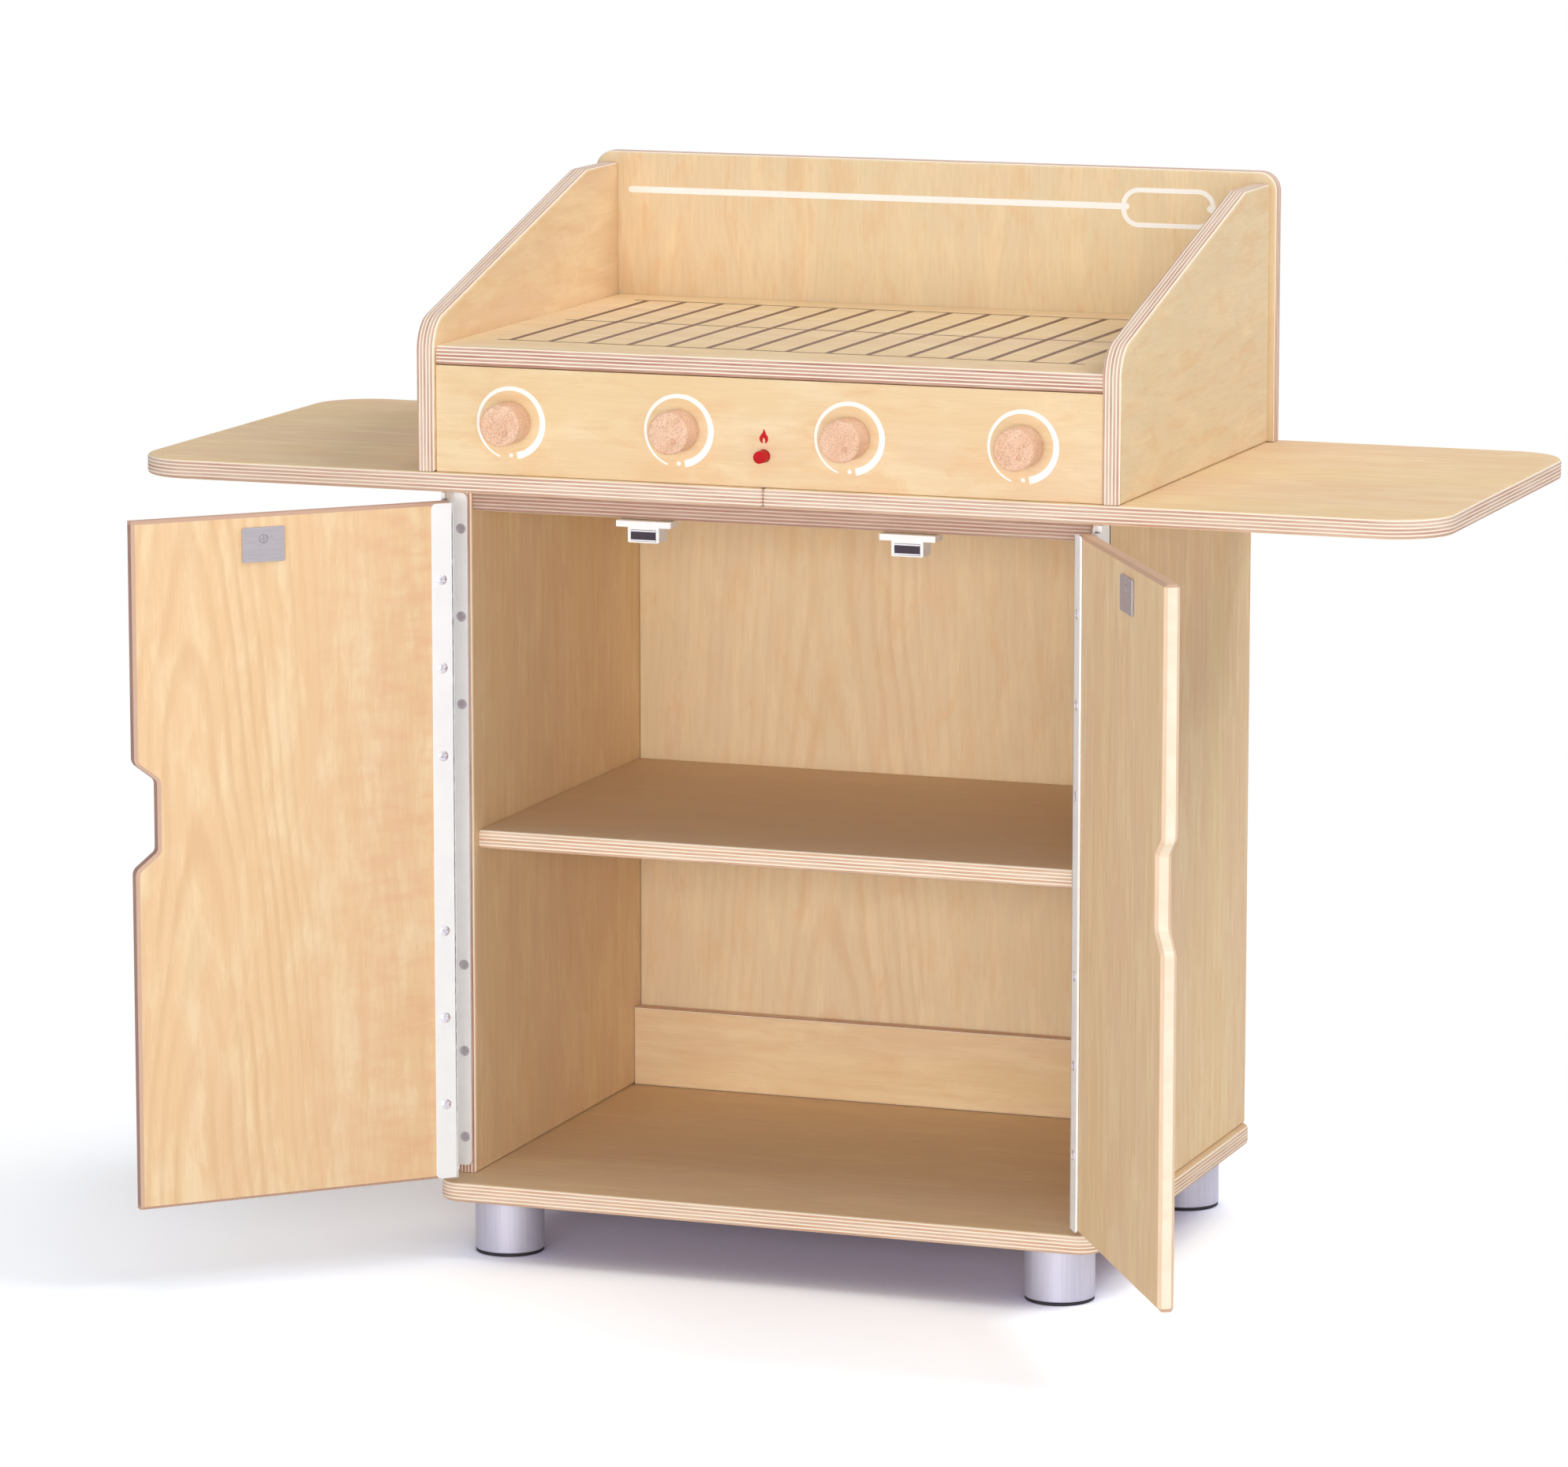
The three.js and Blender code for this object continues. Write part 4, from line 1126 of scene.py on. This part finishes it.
def print_line():
    """White line and bare frame on the back panel."""
    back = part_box("grill_back_panel")[0].y
    rounding = (LINE_WIDTH * LINE_ROUND,) * 4
    line = box_outline(LINE_RIGHT - LINE_LEFT, LINE_WIDTH, rounding)
    width, height = PILL_RIGHT - PILL_LEFT, PILL_HEAD - PILL_FOOT
    radius = height * PILL_ROUND
    pill = box_outline(width, height, (radius,) * 4)
    hollow = box_outline(width - 2 * PILL_STROKE, height - 2 * PILL_STROKE, (radius - PILL_STROKE,) * 4)
    nub = box_outline(NUB_LENGTH, LINE_WIDTH, rounding)
    marks = [
        print_part(line, (LINE_LEFT + LINE_RIGHT) / 2, back, LINE_HEIGHT),
        print_part(pill, (PILL_LEFT + PILL_RIGHT) / 2, back, (PILL_FOOT + PILL_HEAD) / 2,
                   holes=[hollow], thickness=PILL_PRINT),
        print_part(nub, PILL_RIGHT - NUB_LENGTH / 2 - NUB_INSET, back, LINE_HEIGHT),
    ]
    piece("print_line", marks, FLAT, "paint")


def print_flame():
    """Red flame over the button."""
    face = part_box("control_panel")[0].y
    x, z = axis_place("igniter_button")
    width, height = FLAME_SIZE
    outline = [Vector((u * width, v * height)) for u, v in reversed(FLAME_OUTER + FLAME_INNER)]
    flame = print_part(outline, x, face, z + FLAME_RISE)
    piece("print_flame", [flame], FLAT, "red")


def print_grate():
    """Brown bars on the deck, and the cross lines over them."""
    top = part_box("grill_deck")[1].z
    near, _, far = GRATE_ROWS
    reach = (BAR_COUNT - 1) / 2 * BAR_PITCH
    bar = box_outline(BAR_WIDTH, far - near)
    bars = [
        print_part(bar, index * BAR_PITCH - reach, (near + far) / 2, top, FLAT) for index in range(BAR_COUNT)
    ]
    piece("print_bars", bars, FLAT, "brown")
    cross = box_outline(2 * (reach + CROSS_OVERHANG), CROSS_WIDTH)
    crosses = [print_part(cross, 0, y, top + PRINT / 4, FLAT) for y in GRATE_ROWS]
    piece("print_crosses", crosses, FLAT, "brown")


# Noises of beech: scales along, across and into the grain; shift, detail and roughness
BEECH_NOISES = (
    ((60.0, 420.0, 420.0), 1.0, 3.0, 0.6),
    ((30.0, 90.0, 60.0), 5.0, 2.0, 0.5),
    ((700.0, 1100.0, 900.0), 9.0, 3.0, 0.65),
)
BEECH_SEED = 4.7
BEECH_LEAN, BEECH_LEAN_STEP = 28, 9
BEECH_ROUGHNESS = (0.2, 0.8, 0.48, 0.62)
BEECH_BUMP = (0.15, 0.15 * MM)
BEECH_SPECULAR = 0.3

# Its tints: the values of the noise, or of the way from the dimple, between which each grows, and its share;
# the tint by the way from the dimple is painted shade in the hollow
BEECH_BROAD = (0.3, 0.7)
BEECH_STREAKS = (0.42, 0.78, 0.22)
BEECH_SPECKS = (0.48, 0.62, 0.5)
BEECH_DIMPLE_PAINTED_SHADE = (2.5 * MM, 1.9 * MM, 0.2)


def beech(number):
    """Turned beech: streaks along the grain with short dark flecks, and painted shade darkening the dimple, in
    the knob's own axes.
    """
    graph = new_graph(f"beech_{number}")
    seed = BEECH_SEED * number
    x, y, z = graph.split(graph.place())
    lean = math.radians(BEECH_LEAN + BEECH_LEAN_STEP * number)
    cosine, sine = math.cos(lean), math.sin(lean)
    along = graph.math("MULTIPLY_ADD", x, cosine, graph.math("MULTIPLY", y, sine))
    across = graph.math("MULTIPLY_ADD", y, cosine, graph.math("MULTIPLY", x, -sine))

    def grain(scales, shift, *kind):
        shifts = (seed + shift, seed - shift, seed)
        return graph.noise(graph.stretched((along, across, z), scales, shifts), *kind)

    streak, broad, speck = (grain(*noise) for noise in BEECH_NOISES)
    from_dimple = graph.length(graph.stretched((x, y, z), (1.0, 1.0, 0.0), (-DIMPLE_X, -DIMPLE_Y, 0.0)))
    color = graph.tint(BEECH_LIGHT, BEECH_MID, broad, *BEECH_BROAD)
    # Streaks and specks darken the wood; near the dimple the darkening is painted shade in the hollow
    for value, tint in ((streak, BEECH_STREAKS), (speck, BEECH_SPECKS), (from_dimple, BEECH_DIMPLE_PAINTED_SHADE)):
        color = graph.tint(color, BEECH_DARK, value, *tint)
    roughness = graph.spread(streak, *BEECH_ROUGHNESS)
    return graph.surface(color, roughness, graph.bump(speck, *BEECH_BUMP), BEECH_SPECULAR)


# Speckled surfaces: material, light and dark colour, grain, roughness, bump; specular, metallic
SPECKLED = {
    "hinge": ("hinge_paint", (253, 254, 255), (247, 248, 250), 900.0, (0.38, 0.5), 0.06),
    "plastic": ("catch_plastic", (250, 249, 248), (242, 241, 241), 1400.0, (0.4, 0.52), 0.1),
    "paint": ("print_paint", (255, 255, 252), (251, 250, 245), 1200.0, (0.5, 0.6), 0.05),
    "red": ("red_plastic", (204, 20, 32), (184, 14, 24), 900.0, (0.45, 0.55), 0.08, 0.15),
    "brown": ("brown_print", (118, 82, 62), (100, 68, 52), 600.0, (0.5, 0.62), 0.05),
    "magnet": ("magnet_black", (54, 36, 54), (40, 26, 40), 1600.0, (0.5, 0.7), 0.2),
    "rubber": ("glide_rubber", (38, 34, 38), (18, 16, 18), 1500.0, (0.6, 0.8), 0.25),
    "bright_steel": ("screw_bright", (238, 236, 246), (212, 209, 222), 2200.0, (0.25, 0.4), 0.1, 0.5, 0.75),
    "screw_steel": ("screw_grey", (208, 202, 211), (182, 175, 185), 2200.0, (0.35, 0.5), 0.1, 0.5, 0.3),
    "dark_steel": ("pin_grey", (150, 143, 152), (116, 109, 118), 2200.0, (0.3, 0.45), 0.1, 0.5, 0.75),
}

# Brushed metals: material, light and dark colour, roughness, fineness along X, Y and Z, and metallic
BRUSHED = {
    "leg": ("leg_metal", (198, 195, 211), (188, 185, 200), (0.34, 0.46), (420, 420, 14), 0.5),
    "plate": ("plate_steel", (186, 181, 188), (170, 165, 173), (0.4, 0.55), (70, 70, 2200), 0.35),
    "pole": ("pole_steel", (232, 229, 236), (212, 208, 217), (0.35, 0.5), (70, 70, 2200), 0.2),
}
BROAD_SCALE = 1 / 18
BRUSH_BUMP = 0.1
METAL_HEIGHT = 0.1 * MM

# Detail and roughness of their noise, and its values between which colour and gloss change
FINE_NOISE = (3.0, 0.6)
MOTTLING, BRUSHING, SHEEN = (0.35, 0.68), (0.3, 0.75), (0.25, 0.75)


def speckled(name, light, dark, grain, roughness, bump, specular=0.5, metallic=0.0):
    """Painted, moulded or metal surface with fine mottling in its colour, gloss and height."""
    graph = new_graph(name)
    place = graph.place()
    fine = graph.noise(place, *FINE_NOISE, scale=grain)
    broad = graph.noise(place, scale=grain * BROAD_SCALE)
    share = graph.math("MULTIPLY_ADD", fine, 0.5, graph.math("MULTIPLY", broad, 0.5))
    color = graph.tint(srgb(*light), srgb(*dark), share, *MOTTLING)
    rough = graph.spread(fine, *SHEEN, *roughness)
    return graph.surface(color, rough, graph.bump(fine, bump, METAL_HEIGHT), specular, metallic)


def brushed(name, light, dark, roughness, fineness, metallic):
    """Metal with fine lines round or along it."""
    graph = new_graph(name)
    place = graph.stretched(graph.split(graph.place()), fineness, (0.0, 0.0, 0.0))
    lines = graph.noise(place, *FINE_NOISE)
    color = graph.tint(srgb(*light), srgb(*dark), lines, *BRUSHING)
    rough = graph.spread(lines, *SHEEN, *roughness)
    return graph.surface(color, rough, graph.bump(lines, BRUSH_BUMP, METAL_HEIGHT), metallic=metallic)


def make_looks():
    """Materials of everything but the boards, by name."""
    looks = {name: speckled(*row) for name, row in SPECKLED.items()}
    looks.update((name, brushed(*row)) for name, row in BRUSHED.items())
    looks.update((f"beech_{number}", beech(number)) for number, _ in enumerate(KNOBS, 1))
    return looks


def dress_hidden_nodes():
    """Materials for the CAD nodes that stay: pins, spindles, retainers and the button's barrel."""
    for name, node in frame["nodes"].items():
        if node.hide_render:
            continue
        look = "plastic" if name == "igniter_barrel" else "dark_steel"
        node.data.materials.clear()
        node.data.materials.append(LOOKS[look])


# Camera, matched to the photograph
CAMERA_PLACE = (1.8520, -5.1171, 1.3476)
CAMERA_TILT = 0.1702
CAMERA_TURN = 0.3503
CAMERA_LENS = 165.32
CAMERA_SENSOR = 36.0


def make_camera():
    data = bpy.data.cameras.new("camera")
    data.lens = CAMERA_LENS
    data.sensor_width = CAMERA_SENSOR
    camera = in_scene("camera", data)
    camera.location = CAMERA_PLACE
    camera.rotation_euler = (math.pi / 2 - CAMERA_TILT, 0.0, CAMERA_TURN)
    bpy.context.scene.camera = camera


# Light: levels are the brightness that a lamp alone gives a white surface that faces it
TARGET = Vector((0.0, 0.05, 0.42))
AMBIENT = (0.27, 0.27, 0.28, 1.0)
WHITE = (1.0, 1.0, 1.0, 1.0)
LAMPS = (
    ("key", 8.0, 6.0, 5.0, (4.6, 1.6), 0.62),
    ("side", 104.0, 46.0, 5.0, (3.2, 2.6), 0.45),
    ("rim", 215.0, 38.0, 5.0, (1.8, 1.8), 0.06),
    ("overhead", 10.0, 84.0, 4.0, (1.9, 1.9), 0.18),
)


def make_lamps():
    """Soft lamps that look at the object: azimuth, elevation, distance, width and height, and level."""
    for name, azimuth, elevation, distance, size, level in LAMPS:
        data = bpy.data.lights.new(name, "AREA")
        data.shape = "RECTANGLE"
        data.size, data.size_y = size
        data.energy = math.pi ** 2 * distance ** 2 * level
        turn, rise = math.radians(azimuth), math.radians(elevation)
        back = Vector((math.sin(turn) * math.cos(rise), -math.cos(turn) * math.cos(rise), math.sin(rise)))
        lamp = in_scene(name, data)
        lamp.location = TARGET + back * distance
        lamp.rotation_euler = (-back).to_track_quat("-Z", "Y").to_euler()


def make_world():
    """Even soft light, and a white background where it is seen."""
    graph = Graph(bpy.data.worlds.new("studio"))
    ambient = graph.node("Background", [AMBIENT])
    white = graph.node("Background", [WHITE])
    mixed = graph.node("MixShader", [graph.seen_directly(), ambient.outputs[0], white.outputs[0]])
    bpy.context.scene.world = graph.show(mixed, "OutputWorld")


# Floor: its colour in the bounce and to the camera, open and where the object covers it, which is painted
# shade, and its fade
FLOOR_WIDTH = 28.0
FLOOR_COLOR = (0.88, 0.88, 0.89, 1.0)
FLOOR_SEEN = (1.5, 1.61, 1.7, 1.0)
FLOOR_PAINTED_SHADE = (0.60, 0.62, 0.84, 1.0)
FLOOR_GLOW = (0.04, 0.03, 0.05, 1.0)
PAINTED_SHADE_REACH = 0.3
PAINTED_SHADE_OPEN = (0.1, 0.62)
PAINTED_SHADE_SAMPLES = 8
FLOOR_FADE = (0.5, 0.9)


def floor_material():
    """Pale floor that keeps the object's shadow, adds painted shade where the object is near, and fades to the
    background away from it.
    """
    graph = new_graph("floor")
    seen = graph.seen_directly()
    # Painted shade: where occlusion finds the object near, the floor's colour darkens towards a bluish grey
    painted_shade_occlusion = graph.node("AmbientOcclusion", {"Distance": PAINTED_SHADE_REACH}, samples=PAINTED_SHADE_SAMPLES)
    shown = graph.tint(FLOOR_PAINTED_SHADE, FLOOR_SEEN, painted_shade_occlusion.outputs["AO"], *PAINTED_SHADE_OPEN)
    diffuse = graph.node("BsdfDiffuse", [graph.mix(seen, FLOOR_COLOR, shown)])
    glow = graph.node("Emission", [FLOOR_GLOW, seen])
    lit = graph.node("AddShader", [diffuse.outputs[0], glow.outputs[0]])
    white = graph.node("Emission", [WHITE])
    fade = graph.math("MULTIPLY", graph.spread(graph.length(graph.place()), *FLOOR_FADE), seen)
    return graph.show(graph.node("MixShader", [fade, lit.outputs[0], white.outputs[0]]))


def make_floor():
    mesh = bpy.data.meshes.new("floor")
    corners = [(*corner, 0) for corner in box_outline(FLOOR_WIDTH, FLOOR_WIDTH)]
    mesh.from_pydata(corners, [], [(0, 1, 2, 3)])
    mesh.materials.append(floor_material())
    in_scene("floor", mesh)


# Places of the doors' noises
DOOR_SEEDS = (103.1, 117.6)

LOOKS = make_looks()
build_boards()
for seed, (side, sign) in zip(DOOR_SEEDS, SIDES):
    build_door(side, sign, seed)
    build_hinge(side, sign)
    build_plate(side, sign)
    build_catch(side)
build_knobs()
build_button()
build_legs()
print_dials()
print_line()
print_flame()
print_grate()
dress_hidden_nodes()
make_camera()
make_lamps()
make_world()
make_floor()
bpy.context.scene.view_settings.view_transform = "Standard"
